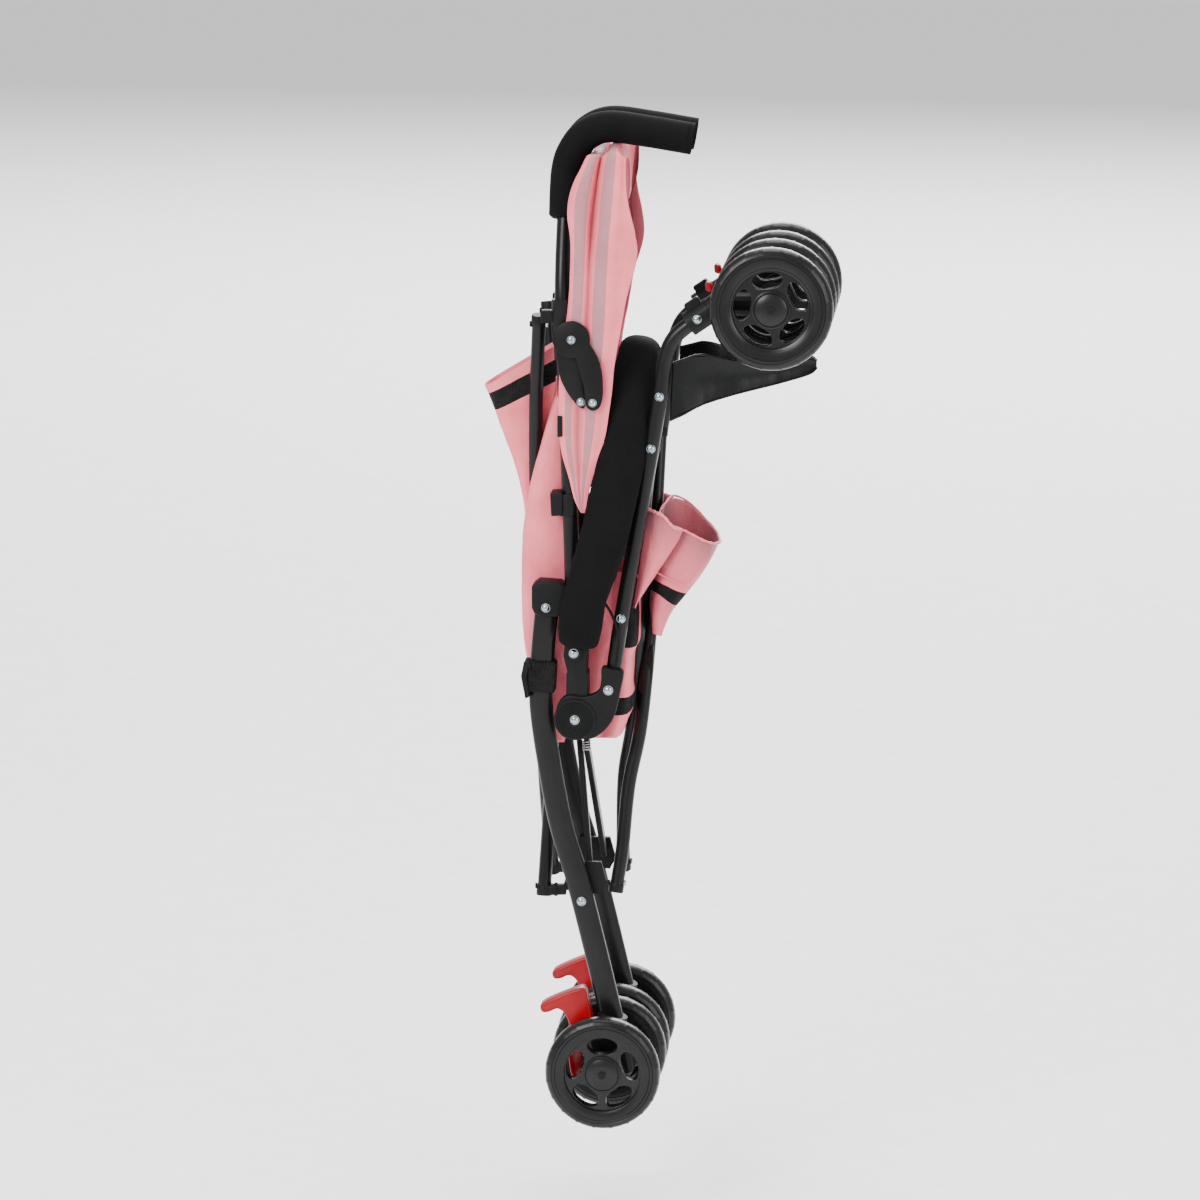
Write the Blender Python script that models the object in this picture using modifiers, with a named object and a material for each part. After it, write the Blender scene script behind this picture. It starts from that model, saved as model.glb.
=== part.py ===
"""Umbrella stroller, folded and upright, hung by its two crook handles.

Units are metres in Blender; the constants below are millimetres in the side view.
X runs from the rear wheels' pedals to the front castors, Y from the near side to the far one, Z up.
Side view places are (x, z) from the middle of the frame, and ORIGIN moves them to the hanging point
under the crooks.
"""

import math

import bmesh
import bpy
from mathutils import Matrix, Vector

MM = 0.001
ORIGIN = (30.0, 479.0)
GAP = 0.3
PUSH_STEPS = 22
LEG_STEPS = 16

# Side frames
HALF_WIDTH = 62.0
TUBE_R = 7.75
BORE_R = TUBE_R + GAP
GRIP_R = 16.0
PUSH_TUBE = ((-20.5, -60), (-21, -20), (-24, 90), (-28, 200), (-32, 318), (-32, 400), (-31, 443))
CROOK = ((-24, 468), (-9, 487), (14, 495.5), (55, 491), (84, 486.5))
GRIP_LOW = (-32, 397)
GRIP_END = (99, 484)
LEAN_FROM = 318.0
LEAN_TO = 443.0
LEAN = 0.645
KNUCKLE = (-18.4, -107.8)
KNUCKLE_R = 21.5
CANOPY_PIVOT = (-21.4, 280.6)
CANOPY_DISC_R = 18.5
CLIP = (-27, 109)
REAR_PIVOT = (-48.0, 6.4)

# Front leg and castor
FRONT_LEG = ((19, -64), (27.6, -4.4), (42, 80), (57.5, 169.7), (65.8, 222.5), (70, 256), (79, 280), (97, 297))
CASTOR_AXIS = Vector((0.821, 0.0, 0.571)).normalized()
CASTOR_SEAT = (105.0, 302.5)
CASTOR_WHEEL = (178.5, 316.4)
CASTOR_TRACK = 32.0
HOUSING_R = 13.0

# Rear leg and wheels
REAR_LEG = (
    (-48, 6),
    (-53, -50),
    (-54, -100),
    (-44, -170),
    (-33, -226),
    (-18, -276),
    (-1.5, -342),
    (18, -424),
)
REAR_LEG_WIDE = 24.0
REAR_LEG_THIN = 15.0
REAR_AXLE = (12.0, -470.5)
REAR_TRACK = 40.0
AXLE_R = 4.0
WHEEL_R = 59.0
WHEEL_W = 22.0
PEDAL_PIVOT = (0.0, -436.0)

# Cross frames, brace, footrest: (low, high, x)
CROSS_Y = 46.0
CROSS_R = 7.2
CROSS_BOW = 8.0
REAR_X_TOP = (-57.0, 298.0)
REAR_X_LOW = (-53.5, -298.0)
LOWER_X_TOP = (73.0, 170.0)
LOWER_X_LOW = (26.0, -292.0)
BRACE_LOW = (-3.0, -273.0)
BRACE_TOP = (-17.0, -152.0)
FOOTREST_THICK = 2.4
FOOTREST = ((198, 257, 76), (213, 262, 110), (223, 256, 144), (235, 254, 182), (245, 257, 218))

# Bumper bar: (x, z, y) places of its near arm and top, and its (across, up) half sizes along them
BUMPER_PIVOT = (-21, -43)
BUMPER = (
    (-13, -30, 88),
    (-12, -11, 88),
    (-8, 20, 87),
    (8, 76, 83),
    (18, 116, 77),
    (29, 166, 65),
    (36, 212, 47),
)
BUMPER_TOP = ((40, 240, 33), (42, 255, 19), (42, 260, 8), (42, 260.5, 0.3))
BUMPER_HALF = (
    (12, 20),
    (12, 22),
    (11, 18),
    (12, 21),
    (12, 21),
    (12, 20),
    (12, 18),
    (12, 17),
    (12, 16),
    (12, 15),
    (12, 15),
)

# Canopy bows, then cloth levels: (z, rear edge, first bow, second bow, front edge, share of the reach out)
BOW_R = 2.6
REAR_BOW = ((-16, 290), (-12, 330), (-9, 400), (-4, 444))
FRONT_BOW = ((-13, 290), (8, 335), (12, 400), (15, 456))
CLOTH_THICK = 2.6
CANOPY_INNER = -60.0
CANOPY = (
    (108, -9, -8, -5, -3, 0.3),
    (130, -11, -8, -5, -2, 0.5),
    (160, -22, -16, -4, 3, 1),
    (195, -28, -18, -2, 9, 1),
    (240, -24, -16, 2, 17, 1),
    (262, -17, -12, 6, 24, 0.2),
    (298, -17, -11, 7, 31, 0.2),
    (325, -18, -13, 9, 36, 1),
    (368, -19, -12, 11, 48, 1),
    (408, -12, -10, 13, 40, 1),
    (436, -10, -5, 16, 34, 1),
)

# Seat back levels: (z, front x, front depth, rear x, corner depth); open at the rear below CLOSED
SEAT_BACK = (
    (-138, -36, 42, -45, 38),
    (-96, -34, 46, -62, 43),
    (-53, -33, 47, -73, 45),
    (0, -33, 47, -76, 45),
    (43, -33, 47, -77, 45),
    (80, -35, 47, -76, 43),
    (104, -38, 47, -76, 41),
    (138, -70, 38, -81, 36),
    (171, -74, 30, -93, 32),
    (204, -73, 26, -102, 30),
    (228, -76, 24, -111, 30),
    (246, -74, 22, -92, 28),
)
SEAT_BACK_CLOSED = -60.0

# Canopy arm outlines and depths
REAR_ARM = (
    (-38, 274),
    (-38, 263),
    (-33, 244),
    (-25, 227),
    (-18, 216),
    (-12, 210),
    (-6, 216),
    (-7, 229),
    (-7, 262),
)
FRONT_ARM = (
    (-6, 284),
    (-1, 272),
    (5, 259),
    (9, 243),
    (7, 222),
    (0, 209),
    (-6, 213),
    (-9, 229),
    (-13, 255),
    (-18, 272),
)
REAR_ARM_Y = 74.6
FRONT_ARM_Y = 78.8
BOW_RISE = 9

COLLECTION = "umbrella_stroller"

PAINT = {
    "tube": ((0.035, 0.036, 0.038, 1), 0.35, 0.6),
    "plastic": ((0.02, 0.021, 0.021, 1), 0.5, 0.0),
    "foam": ((0.017, 0.017, 0.018, 1), 0.9, 0.0),
    "zinc": ((0.6, 0.6, 0.6, 1), 0.3, 1.0),
    "red": ((0.72, 0.012, 0.02, 1), 0.35, 0.0),
    "tyre": ((0.02, 0.02, 0.02, 1), 0.8, 0.0),
    "fabric": ((0.79, 0.35, 0.38, 1), 0.85, 0.0),
    "gloss": ((0.012, 0.012, 0.013, 1), 0.15, 0.0),
    "webbing": ((0.015, 0.015, 0.015, 1), 0.85, 0.0),
}


def clear_scene():
    for obj in list(bpy.data.objects):
        bpy.data.objects.remove(obj, do_unlink=True)
    for name in (COLLECTION, "cutters"):
        group = bpy.data.collections.new(name)
        bpy.context.scene.collection.children.link(group)


def paint(name):
    """The Principled material of this name, made once."""
    found = bpy.data.materials.get(name)
    if found:
        return found
    colour, rough, metal = PAINT[name]
    made = bpy.data.materials.new(name)
    made.use_nodes = True
    shader = made.node_tree.nodes["Principled BSDF"]
    shader.inputs["Base Color"].default_value = colour
    shader.inputs["Roughness"].default_value = rough
    shader.inputs["Metallic"].default_value = metal
    made.diffuse_color = colour
    return made


def at(place, y=0.0):
    """World metres of a side view place, at depth y."""
    return Vector(((place[0] - ORIGIN[0]) * MM, y * MM, (place[1] - ORIGIN[1]) * MM))


def add(name, data, material, matrix=None, group=COLLECTION):
    obj = bpy.data.objects.new(name, data)
    bpy.data.collections[group].objects.link(obj)
    if matrix is not None:
        obj.matrix_world = matrix
    data.materials.append(paint(material))
    return obj


def hide_cutter(obj):
    obj.hide_render = True
    obj.display_type = "WIRE"


def frame_along(start, direction):
    """A matrix at start whose Z runs along direction."""
    return Matrix.Translation(start) @ direction.to_track_quat("Z", "Y").to_matrix().to_4x4()


def rod(name, a, b, radius, material, sides=20, radius_b=None, group=COLLECTION):
    """A cylinder or cone from a to b, both in world metres."""
    mesh = bpy.data.meshes.new(name)
    bm = bmesh.new()
    length = (b - a).length
    end = radius if radius_b is None else radius_b
    bmesh.ops.create_cone(
        bm, cap_ends=True, segments=sides, radius1=radius * MM, radius2=end * MM, depth=length
    )
    bmesh.ops.translate(bm, verts=bm.verts, vec=(0, 0, length / 2))
    bm.to_mesh(mesh)
    bm.free()
    return add(name, mesh, material, frame_along(a, b - a), group)


def block(name, centre, size, material, turn=0.0, bevel=1.5, group=COLLECTION):
    """A box of size mm round centre, turned about Y, with bevelled edges."""
    mesh = bpy.data.meshes.new(name)
    bm = bmesh.new()
    bmesh.ops.create_cube(bm, size=1.0)
    bmesh.ops.scale(bm, verts=bm.verts, vec=Vector(size) * MM)
    if bevel:
        bmesh.ops.bevel(bm, geom=bm.edges, offset=bevel * MM, segments=1, affect="EDGES")
    bm.to_mesh(mesh)
    bm.free()
    matrix = Matrix.Translation(centre) @ Matrix.Rotation(turn, 4, "Y")
    return add(name, mesh, material, matrix, group)


def smooth_route(points, count):
    """Points along a Catmull-Rom curve through the route's own points."""
    ends = [points[0] * 2 - points[1]] + list(points) + [points[-1] * 2 - points[-2]]
    route = []
    spans = len(points) - 1
    for step in range(count):
        place = step * spans / (count - 1)
        i = min(int(place), spans - 1)
        t = place - i
        p0, p1, p2, p3 = ends[i : i + 4]
        route.append(
            0.5
            * (
                2 * p1
                + (p2 - p0) * t
                + (2 * p0 - 5 * p1 + 4 * p2 - p3) * t**2
                + (3 * p1 - 3 * p2 + p3 - p0) * t**3
            )
        )
    return route


def tube(name, points, radius, material, count=16, sides=2, group=COLLECTION):
    """A closed round tube along a smooth route, as a mesh."""
    curve = bpy.data.curves.new(name, "CURVE")
    curve.dimensions = "3D"
    curve.bevel_depth = radius * MM
    curve.bevel_resolution = sides
    curve.use_fill_caps = True
    spline = curve.splines.new("POLY")
    route = smooth_route(points, count)
    spline.points.add(len(route) - 1)
    for knot, place in zip(spline.points, route):
        knot.co = (*place, 1.0)
    guide = bpy.data.objects.new(name, curve)
    bpy.context.scene.collection.objects.link(guide)
    bpy.context.view_layer.update()
    graph = bpy.context.evaluated_depsgraph_get()
    mesh = bpy.data.meshes.new_from_object(guide.evaluated_get(graph))
    bpy.data.objects.remove(guide, do_unlink=True)
    bm = bmesh.new()
    bm.from_mesh(mesh)
    bmesh.ops.remove_doubles(bm, verts=bm.verts, dist=1e-5)
    bmesh.ops.recalc_face_normals(bm, faces=bm.faces)
    bm.to_mesh(mesh)
    bm.free()
    mesh.materials.clear()
    return add(name, mesh, material, group=group)


def apply_modifiers(obj):
    """The object's mesh with its modifiers applied, in place."""
    bpy.context.view_layer.update()
    graph = bpy.context.evaluated_depsgraph_get()
    mesh = bpy.data.meshes.new_from_object(obj.evaluated_get(graph))
    obj.modifiers.clear()
    obj.data = mesh
    return obj


def combine(obj, others, operation):
    """obj with the other solids joined to it or cut from it; the others are removed."""
    for other in others:
        change = obj.modifiers.new(operation.lower(), "BOOLEAN")
        change.operation = operation
        change.solver = "EXACT"
        change.object = other
        apply_modifiers(obj)
        bpy.data.objects.remove(other, do_unlink=True)
    return obj


def join(obj, *others):
    return combine(obj, others, "UNION")


def cut(obj, *others):
    for other in others:
        hide_cutter(other)
    return combine(obj, others, "DIFFERENCE")


def finish(obj, origin=None):
    """Moves the object's origin to its joint and shades its round faces smooth."""
    if origin is not None:
        world = obj.matrix_world.copy()
        obj.data.transform(world)
        obj.matrix_world = Matrix.Translation(origin)
        obj.data.transform(Matrix.Translation(-origin))
    obj.data.shade_smooth()
    obj.data.set_sharp_from_angle(angle=math.radians(35))
    return obj


def outline(name, places, y, thick, material, group=COLLECTION):
    """A flat plate with this side view outline, of this thickness round depth y."""
    curve = bpy.data.curves.new(name, "CURVE")
    curve.dimensions = "2D"
    curve.fill_mode = "BOTH"
    curve.extrude = thick / 2 * MM
    spline = curve.splines.new("POLY")
    spline.points.add(len(places) - 1)
    for knot, place in zip(spline.points, places):
        flat = at(place)
        knot.co = (flat.x, flat.z, 0.0, 1.0)
    spline.use_cyclic_u = True
    guide = bpy.data.objects.new(name, curve)
    bpy.context.scene.collection.objects.link(guide)
    guide.matrix_world = Matrix.Translation((0, y * MM, 0)) @ Matrix.Rotation(math.pi / 2, 4, "X")
    bpy.context.view_layer.update()
    graph = bpy.context.evaluated_depsgraph_get()
    mesh = bpy.data.meshes.new_from_object(guide.evaluated_get(graph))
    matrix = guide.matrix_world.copy()
    bpy.data.objects.remove(guide, do_unlink=True)
    bm = bmesh.new()
    bm.from_mesh(mesh)
    bmesh.ops.remove_doubles(bm, verts=bm.verts, dist=1e-5)
    bmesh.ops.recalc_face_normals(bm, faces=bm.faces)
    bm.to_mesh(mesh)
    bm.free()
    mesh.materials.clear()
    return add(name, mesh, material, matrix, group)


def across(name, place, y0, y1, radius, material, sides=24, group=COLLECTION):
    """A round piece along Y between two depths."""
    return rod(name, at(place, y0), at(place, y1), radius, material, sides, group=group)


def side_path(places, y):
    return [at(place, y) for place in places]


def leaning_path(places, y):
    """The push tubes' crooks lean together above their brackets, by LEAN of the distance from the middle."""
    path = []
    for place in places:
        share = min(max((place[1] - LEAN_FROM) / (LEAN_TO - LEAN_FROM), 0), 1)
        path.append(at(place, y * (1 - LEAN * share)))
    return path


def push_line(name, y, radius, material, group=COLLECTION):
    """The push tube's own line at depth y, for the tube and for every bore round it."""
    return tube(name, leaning_path(PUSH_TUBE + CROOK, y), radius, material, PUSH_STEPS, 3, group)


def leg_line(name, y, radius, material, group=COLLECTION):
    """The front leg's own line at depth y, for the leg and for every bore round it."""
    return tube(name, side_path(FRONT_LEG, y), radius, material, LEG_STEPS, 3, group)


def push_tube(side, word):
    y = side * HALF_WIDTH
    return finish(push_line(f"push_tube_{word}", y, TUBE_R, "tube"))


def handle_grip(side, word):
    y = side * HALF_WIDTH
    route = (GRIP_LOW, (-32, 420), (-31, 443)) + CROOK + (GRIP_END,)
    grip = tube(f"handle_grip_{word}", leaning_path(route, y), GRIP_R, "foam", 18, 4)
    inner = y * (1 - LEAN)
    start, stop = at((78, 487.2), inner), at((85, 486.3), inner)
    end = rod("bore_end", start, stop, BORE_R, "foam", 16, group="cutters")
    return finish(cut(grip, push_line("grip_bore", y, BORE_R, "foam", "cutters"), end))


def tube_bore(y):
    """A cutter along the whole push tube."""
    return push_line("tube_bore", y, BORE_R, "plastic", "cutters")


def upper_bracket(side, word):
    y = side * HALF_WIDTH
    sleeve = rod(f"upper_bracket_{word}", at((-31.1, 294), y), at((-32, 319), y), 11.0, "plastic", 24)
    clamp = rod("clamp", at((-29.9, 258), y), at((-31.1, 296), y), 10.2, "plastic", 24)
    disc = across("disc", CANOPY_PIVOT, side * 66.0, side * 71.6, CANOPY_DISC_R, "plastic", 24)
    lug = block("lug", at((-44, 301), side * 60), (20, 10, 13), "plastic")
    pin = across("pin", CANOPY_PIVOT, side * 68, side * 81.5, 3.6, "zinc", 16)
    join(sleeve, clamp, disc, lug, pin)
    return finish(cut(sleeve, tube_bore(y)))


def recline_clip(side, word):
    y = side * HALF_WIDTH
    body = block(f"recline_clip_{word}", at(CLIP, y), (30, 24, 25), "plastic", bevel=3)
    latch = block("latch", at((-44, 107), y), (14, 15, 18), "plastic", bevel=2)
    join(body, latch)
    return finish(cut(body, tube_bore(y)))


def leg_bracket(side, word):
    y = side * HALF_WIDTH
    sleeve = block(f"rear_leg_bracket_{word}", at((-23, 7), y), (22, 24, 32), "plastic", bevel=2)
    corners = ((-24, -12), (-46, -12), (-64, -2), (-64, 16), (-52, 30), (-24, 30))
    for offset in (-10.2, 10.2):
        cheek = outline("cheek", corners, y + offset, 3.0, "plastic")
        join(sleeve, cheek)
    cut(sleeve, tube_bore(y))
    return finish(cut(sleeve, across("pivot_bore", REAR_PIVOT, y - 20, y + 20, 3.6, "zinc", 16, "cutters")))


def knuckle(side, word):
    y = side * HALF_WIDTH
    neck = rod(f"knuckle_{word}", at((-20.7, -84), y), at((-20.9, -38), y), 11.5, "plastic", 24)
    web = block("web", at((-19.5, -85), y - side * 5.5), (18, 13, 34), "plastic")
    start, stop = at((-20.6, -61), y), at((-20.7, -50), y)
    end = rod("bore_end", start, stop, BORE_R, "plastic", 16, group="cutters")
    disc = across("disc", KNUCKLE, y - side * 13, y + side * 2, KNUCKLE_R, "plastic", 24)
    pin = across("pin", KNUCKLE, y, y + side * 17.5, 5.0, "zinc", 16)
    join(neck, web, disc, pin)
    return finish(cut(neck, tube_bore(y), end))


def elbow(side, word):
    y = side * HALF_WIDTH
    disc = across(f"elbow_{word}", KNUCKLE, y + side * 2.5, y + side * 15, KNUCKLE_R, "plastic", 24)
    corners = (
        (-6, -128),
        (7, -122),
        (18, -109),
        (24, -92),
        (29, -60),
        (9, -57),
        (7, -78),
        (0, -84),
        (-14, -86),
        (-14, -110),
    )
    arm = outline("arm", corners, y + side * 7.5, 12.0, "plastic")
    socket = rod("socket", at((8.5, -97), y + side * 2), at((21.5, -60), y), 10.5, "plastic", 24)
    relief = across("relief", KNUCKLE, y - side * 20, y + side * 2.4, KNUCKLE_R + 1, "plastic", 32, "cutters")
    join(disc, arm, socket)
    cut(disc, relief)
    cut(disc, across("pin_bore", KNUCKLE, y - 30, y + 30, 5.3, "zinc", 16, "cutters"))
    bore = leg_line("leg_bore", y, BORE_R, "plastic", "cutters")
    return finish(cut(disc, bore), at(KNUCKLE, y))


def front_leg(side, word):
    y = side * HALF_WIDTH
    leg = leg_line(f"front_leg_{word}", y, TUBE_R, "tube")
    return finish(leg, at(KNUCKLE, y))


def along_castor(distance, y, up=0.0):
    """A place on the castor's own axis, with an offset square to it."""
    square = Vector((-CASTOR_AXIS.z, 0, CASTOR_AXIS.x))
    return at(CASTOR_SEAT, y) + (CASTOR_AXIS * distance + square * up) * MM


def castor_housing(side, word):
    y = side * HALF_WIDTH
    shell = rod(f"castor_housing_{word}", along_castor(-13, y), along_castor(13, y), HOUSING_R, "plastic", 24)
    boss = block("boss", along_castor(2, y, 14), (16, 12, 10), "plastic", -math.asin(CASTOR_AXIS.z), 1)
    join(shell, boss)
    bore = leg_line("leg_bore", y, BORE_R, "plastic", "cutters")
    cut(shell, bore)
    spindle = rod("spindle_bore", along_castor(2, y), along_castor(20, y), 6.4, "zinc", 16, group="cutters")
    return finish(cut(shell, spindle), at(KNUCKLE, y))


def swivel_lock(side, word):
    y = side * HALF_WIDTH
    tilt = -math.asin(CASTOR_AXIS.z)
    tab = block(f"swivel_lock_{word}", along_castor(20, y, 21.5), (15, 11, 8), "red", tilt, 1.5)
    return finish(tab, along_castor(13, y, 18))


def castor_fork(side, word):
    y = side * HALF_WIDTH
    neck = rod(f"castor_fork_{word}", along_castor(13.4, y), along_castor(30, y), 12.5, "plastic", 24)
    wheel = at(CASTOR_WHEEL, y)
    arm = rod("arm", along_castor(24, y, 0), wheel, 12.0, "plastic", 16, 13.0)
    hub = across("hub", CASTOR_WHEEL, y - 19, y + 19, 13.0, "plastic", 24)
    axle = across("axle", CASTOR_WHEEL, y - 45, y + 45, AXLE_R, "zinc", 12)
    spindle = rod("spindle", along_castor(5, y), along_castor(20, y), 6.0, "zinc", 16)
    return finish(join(neck, arm, hub, axle, spindle), along_castor(13, y))


def wheel_profile():
    """Half section of a wheel as (radius, half width), from the hub's bore to the tyre's tread and back."""
    tread = WHEEL_W / 2
    return (
        (AXLE_R + GAP, tread),
        (15, tread),
        (17, 4),
        (39, 4),
        (41, tread),
        (54, tread),
        (WHEEL_R, 5),
    )


def wheel(name, place, y):
    """A turned wheel on an axle along Y, with five openings round its hub."""
    half = wheel_profile()
    section = list(half) + [(r, -w) for r, w in reversed(half)]
    mesh = bpy.data.meshes.new(name)
    bm = bmesh.new()
    knots = [bm.verts.new((r * MM, 0, w * MM)) for r, w in section]
    for a, b in zip(knots, knots[1:] + knots[:1]):
        bm.edges.new((a, b))
    bm.to_mesh(mesh)
    bm.free()
    matrix = Matrix.Translation(at(place, y)) @ Matrix.Rotation(math.pi / 2, 4, "X")
    obj = add(name, mesh, "tyre", matrix)
    screw = obj.modifiers.new("turn", "SCREW")
    screw.axis = "Z"
    screw.angle = math.tau
    screw.steps = 20
    screw.render_steps = 20
    screw.use_merge_vertices = True
    screw.merge_threshold = 1e-5
    screw.use_normal_calculate = True
    apply_modifiers(obj)
    for turn in range(5):
        angle = math.tau * (turn + 0.25) / 5
        spot = (place[0] + 27.5 * math.cos(angle), place[1] + 27.5 * math.sin(angle))
        cut(obj, across("window", spot, y - 8, y + 8, 8.2, "tyre", 6, "cutters"))
    bm = bmesh.new()
    bm.from_mesh(obj.data)
    bmesh.ops.recalc_face_normals(bm, faces=bm.faces)
    bm.to_mesh(obj.data)
    bm.free()
    return finish(obj, at(place, y))


def rear_leg(side, word):
    y = side * HALF_WIDTH
    leg = tube(f"rear_leg_{word}", side_path(REAR_LEG, 0), REAR_LEG_WIDE / 2, "tube", 14, 4)
    for vertex in leg.data.vertices:
        vertex.co.y = vertex.co.y * REAR_LEG_THIN / REAR_LEG_WIDE + y * MM
    head = across("head", REAR_PIVOT, y - 7.5, y + 7.5, 12.0, "tube", 24)
    pin = across("pin", REAR_PIVOT, y - 13, y + 13, 3.2, "zinc", 16)
    join(leg, head, pin)
    return finish(leg, at(REAR_PIVOT, y))


def axle_housing(side, word):
    y = side * HALF_WIDTH
    body = block(f"axle_housing_{word}", at((17, -462), y), (40, 28, 48), "plastic", -0.2, 4)
    collar = rod("collar", at((14, -442), y), at((19.5, -420), y), 15, "plastic", 20)
    axle = across("axle", REAR_AXLE, y - 52.5, y + 52.5, AXLE_R, "zinc", 12)
    join(body, collar, axle)
    bore = tube("leg_bore", side_path(REAR_LEG, 0), REAR_LEG_WIDE / 2 + GAP, "plastic", 14, 4, "cutters")
    for vertex in bore.data.vertices:
        vertex.co.y = vertex.co.y * (REAR_LEG_THIN + 0.9) / REAR_LEG_WIDE + y * MM
    cut(body, bore)
    slot = block("pedal_slot", at((-6, -434), y), (30, 21, 26), "plastic", bevel=0, group="cutters")
    return finish(cut(body, slot), at(REAR_PIVOT, y))


def brake_pedal(side, word):
    y = side * HALF_WIDTH
    corners = ((6, -431), (-22, -398), (-52, -394), (-56, -402), (-30, -411), (-6, -444), (2, -446))
    pedal = outline(f"brake_pedal_{word}", corners, y, 19.0, "red")
    return finish(pedal, at(PEDAL_PIVOT, y))


def cross_bracket(side, word):
    y = side * (HALF_WIDTH - REAR_LEG_THIN / 2 - 0.6 - 3)
    plate = outline(
        f"cross_bracket_{word}",
        ((-34, -292), (-26, -262), (6, -262), (12, -284), (6, -296)),
        y,
        5.0,
        "plastic",
    )
    return finish(plate, at(REAR_PIVOT, side * HALF_WIDTH))


def cross_tube(name, top, low, side, bow, pivot_y):
    """A crossing tube from this side's upper pivot to the other side's lower one, bowed at the middle."""
    start, end = at(top, side * CROSS_Y), at(low, -side * CROSS_Y)
    points = []
    for share in (0, 0.12, 0.35, 0.5, 0.65, 0.88, 1):
        place = start.lerp(end, share)
        place.x += bow * MM * math.sin(math.pi * share) ** 0.5 if 0 < share < 1 else 0
        points.append(place)
    bar = tube(name, points, CROSS_R, "tube", 12, 3)
    return finish(bar, at(top, pivot_y))


def brace_link(side, word):
    """One half of the folding brace, a lapped bar from this rear leg's bracket to the middle."""
    shift = 3.4 * side
    low = at((BRACE_LOW[0] + shift, BRACE_LOW[1]), side * (CROSS_Y - 6))
    top = at((BRACE_TOP[0] + shift, BRACE_TOP[1]), 0)
    bar = block(f"brace_link_{word}", Vector(), (6.0, 13.0, (top - low).length / MM + 10), "tube", bevel=1)
    run = (top - low).normalized()
    flat = run.cross(Vector((1, 0, 0))).normalized()
    turn = Matrix((flat.cross(run), flat, run)).transposed().to_4x4()
    bar.matrix_world = Matrix.Translation((low + top) / 2) @ turn
    return finish(bar, low)


def footrest(side, word):
    """One half of the folded footrest sheet, from its front leg out to the fold, with a curved lower edge."""
    inner = HALF_WIDTH - TUBE_R - 1.8
    fold = 3.2
    rows = []
    for low, high, x in FOOTREST:
        share = (x - FOOTREST[0][2]) / (FOOTREST[-1][2] - FOOTREST[0][2])
        y = side * (inner + (fold - inner) * share)
        rows.append([at((x, low + (high - low) * step / 3), y) for step in range(4)])
    return finish(sheet(f"footrest_{word}", rows, "gloss", FOOTREST_THICK), rows[0][0])


def oval_bar(name, points, halves, material, sides=16, count=22):
    """A closed bar along a smooth route; halves are (across, up) half sizes spread along it."""
    route = smooth_route(points, count)
    mesh = bpy.data.meshes.new(name)
    bm = bmesh.new()
    across = Vector((0, 1, 0))
    rings = []
    for i, place in enumerate(route):
        ahead = (route[min(i + 1, count - 1)] - route[max(i - 1, 0)]).normalized()
        across = (across - ahead * across.dot(ahead)).normalized()
        up = ahead.cross(across)
        share = i / (count - 1) * (len(halves) - 1)
        k = min(int(share), len(halves) - 2)
        thin = halves[k][0] + (halves[k + 1][0] - halves[k][0]) * (share - k)
        wide = halves[k][1] + (halves[k + 1][1] - halves[k][1]) * (share - k)
        ring = []
        for step in range(sides):
            angle = math.tau * step / sides
            offset = across * math.cos(angle) * thin + up * math.sin(angle) * wide
            ring.append(bm.verts.new(place + offset * MM))
        rings.append(ring)
    for lower, upper in zip(rings, rings[1:]):
        for step in range(sides):
            after = (step + 1) % sides
            bm.faces.new((lower[step], lower[after], upper[after], upper[step]))
    bm.faces.new(rings[0])
    bm.faces.new(rings[-1])
    bmesh.ops.recalc_face_normals(bm, faces=bm.faces)
    bm.to_mesh(mesh)
    bm.free()
    return add(name, mesh, material)


def bumper(side, word):
    points = [at((x, z), side * y) for x, z, y in BUMPER + BUMPER_TOP]
    bar = oval_bar(f"bumper_bar_{word}", points, BUMPER_HALF, "foam")
    boss = across("boss", BUMPER_PIVOT, side * 74.4, side * 90, 8.0, "plastic", 20)
    neck = rod("neck", at(BUMPER_PIVOT, side * 86), at((-14, -18), side * 88), 9.0, "plastic", 20)
    return finish(join(bar, neck, boss), at(BUMPER_PIVOT, side * HALF_WIDTH))


def canopy_bow(name, side, places, corners, depth):
    """A bow's half: its pivot disc, the arm below it and the wire up and across to the middle."""
    y = side * depth
    disc = across(name, CANOPY_PIVOT, y - 1.6, y + 1.6, CANOPY_DISC_R - 1, "plastic", 28)
    arm = outline("arm", corners, y, 3.2, "plastic")
    wire = [at(place, y) for place in places]
    tip = places[-1]
    wire.append(at((tip[0] + 0.3, tip[1] + 8), side * (depth - 10)))
    wire.append(at((tip[0] + 0.5, tip[1] + BOW_RISE), side * 40))
    wire.append(at((tip[0] + 0.5, tip[1] + BOW_RISE), side * 0.3))
    bow = tube("bow", wire, BOW_R, "tube", 14, 1)
    join(disc, arm, bow)
    cut(disc, across("pin_bore", CANOPY_PIVOT, y - 5, y + 5, 3.9, "zinc", 16, "cutters"))
    return finish(disc, at(CANOPY_PIVOT, y))


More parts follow.
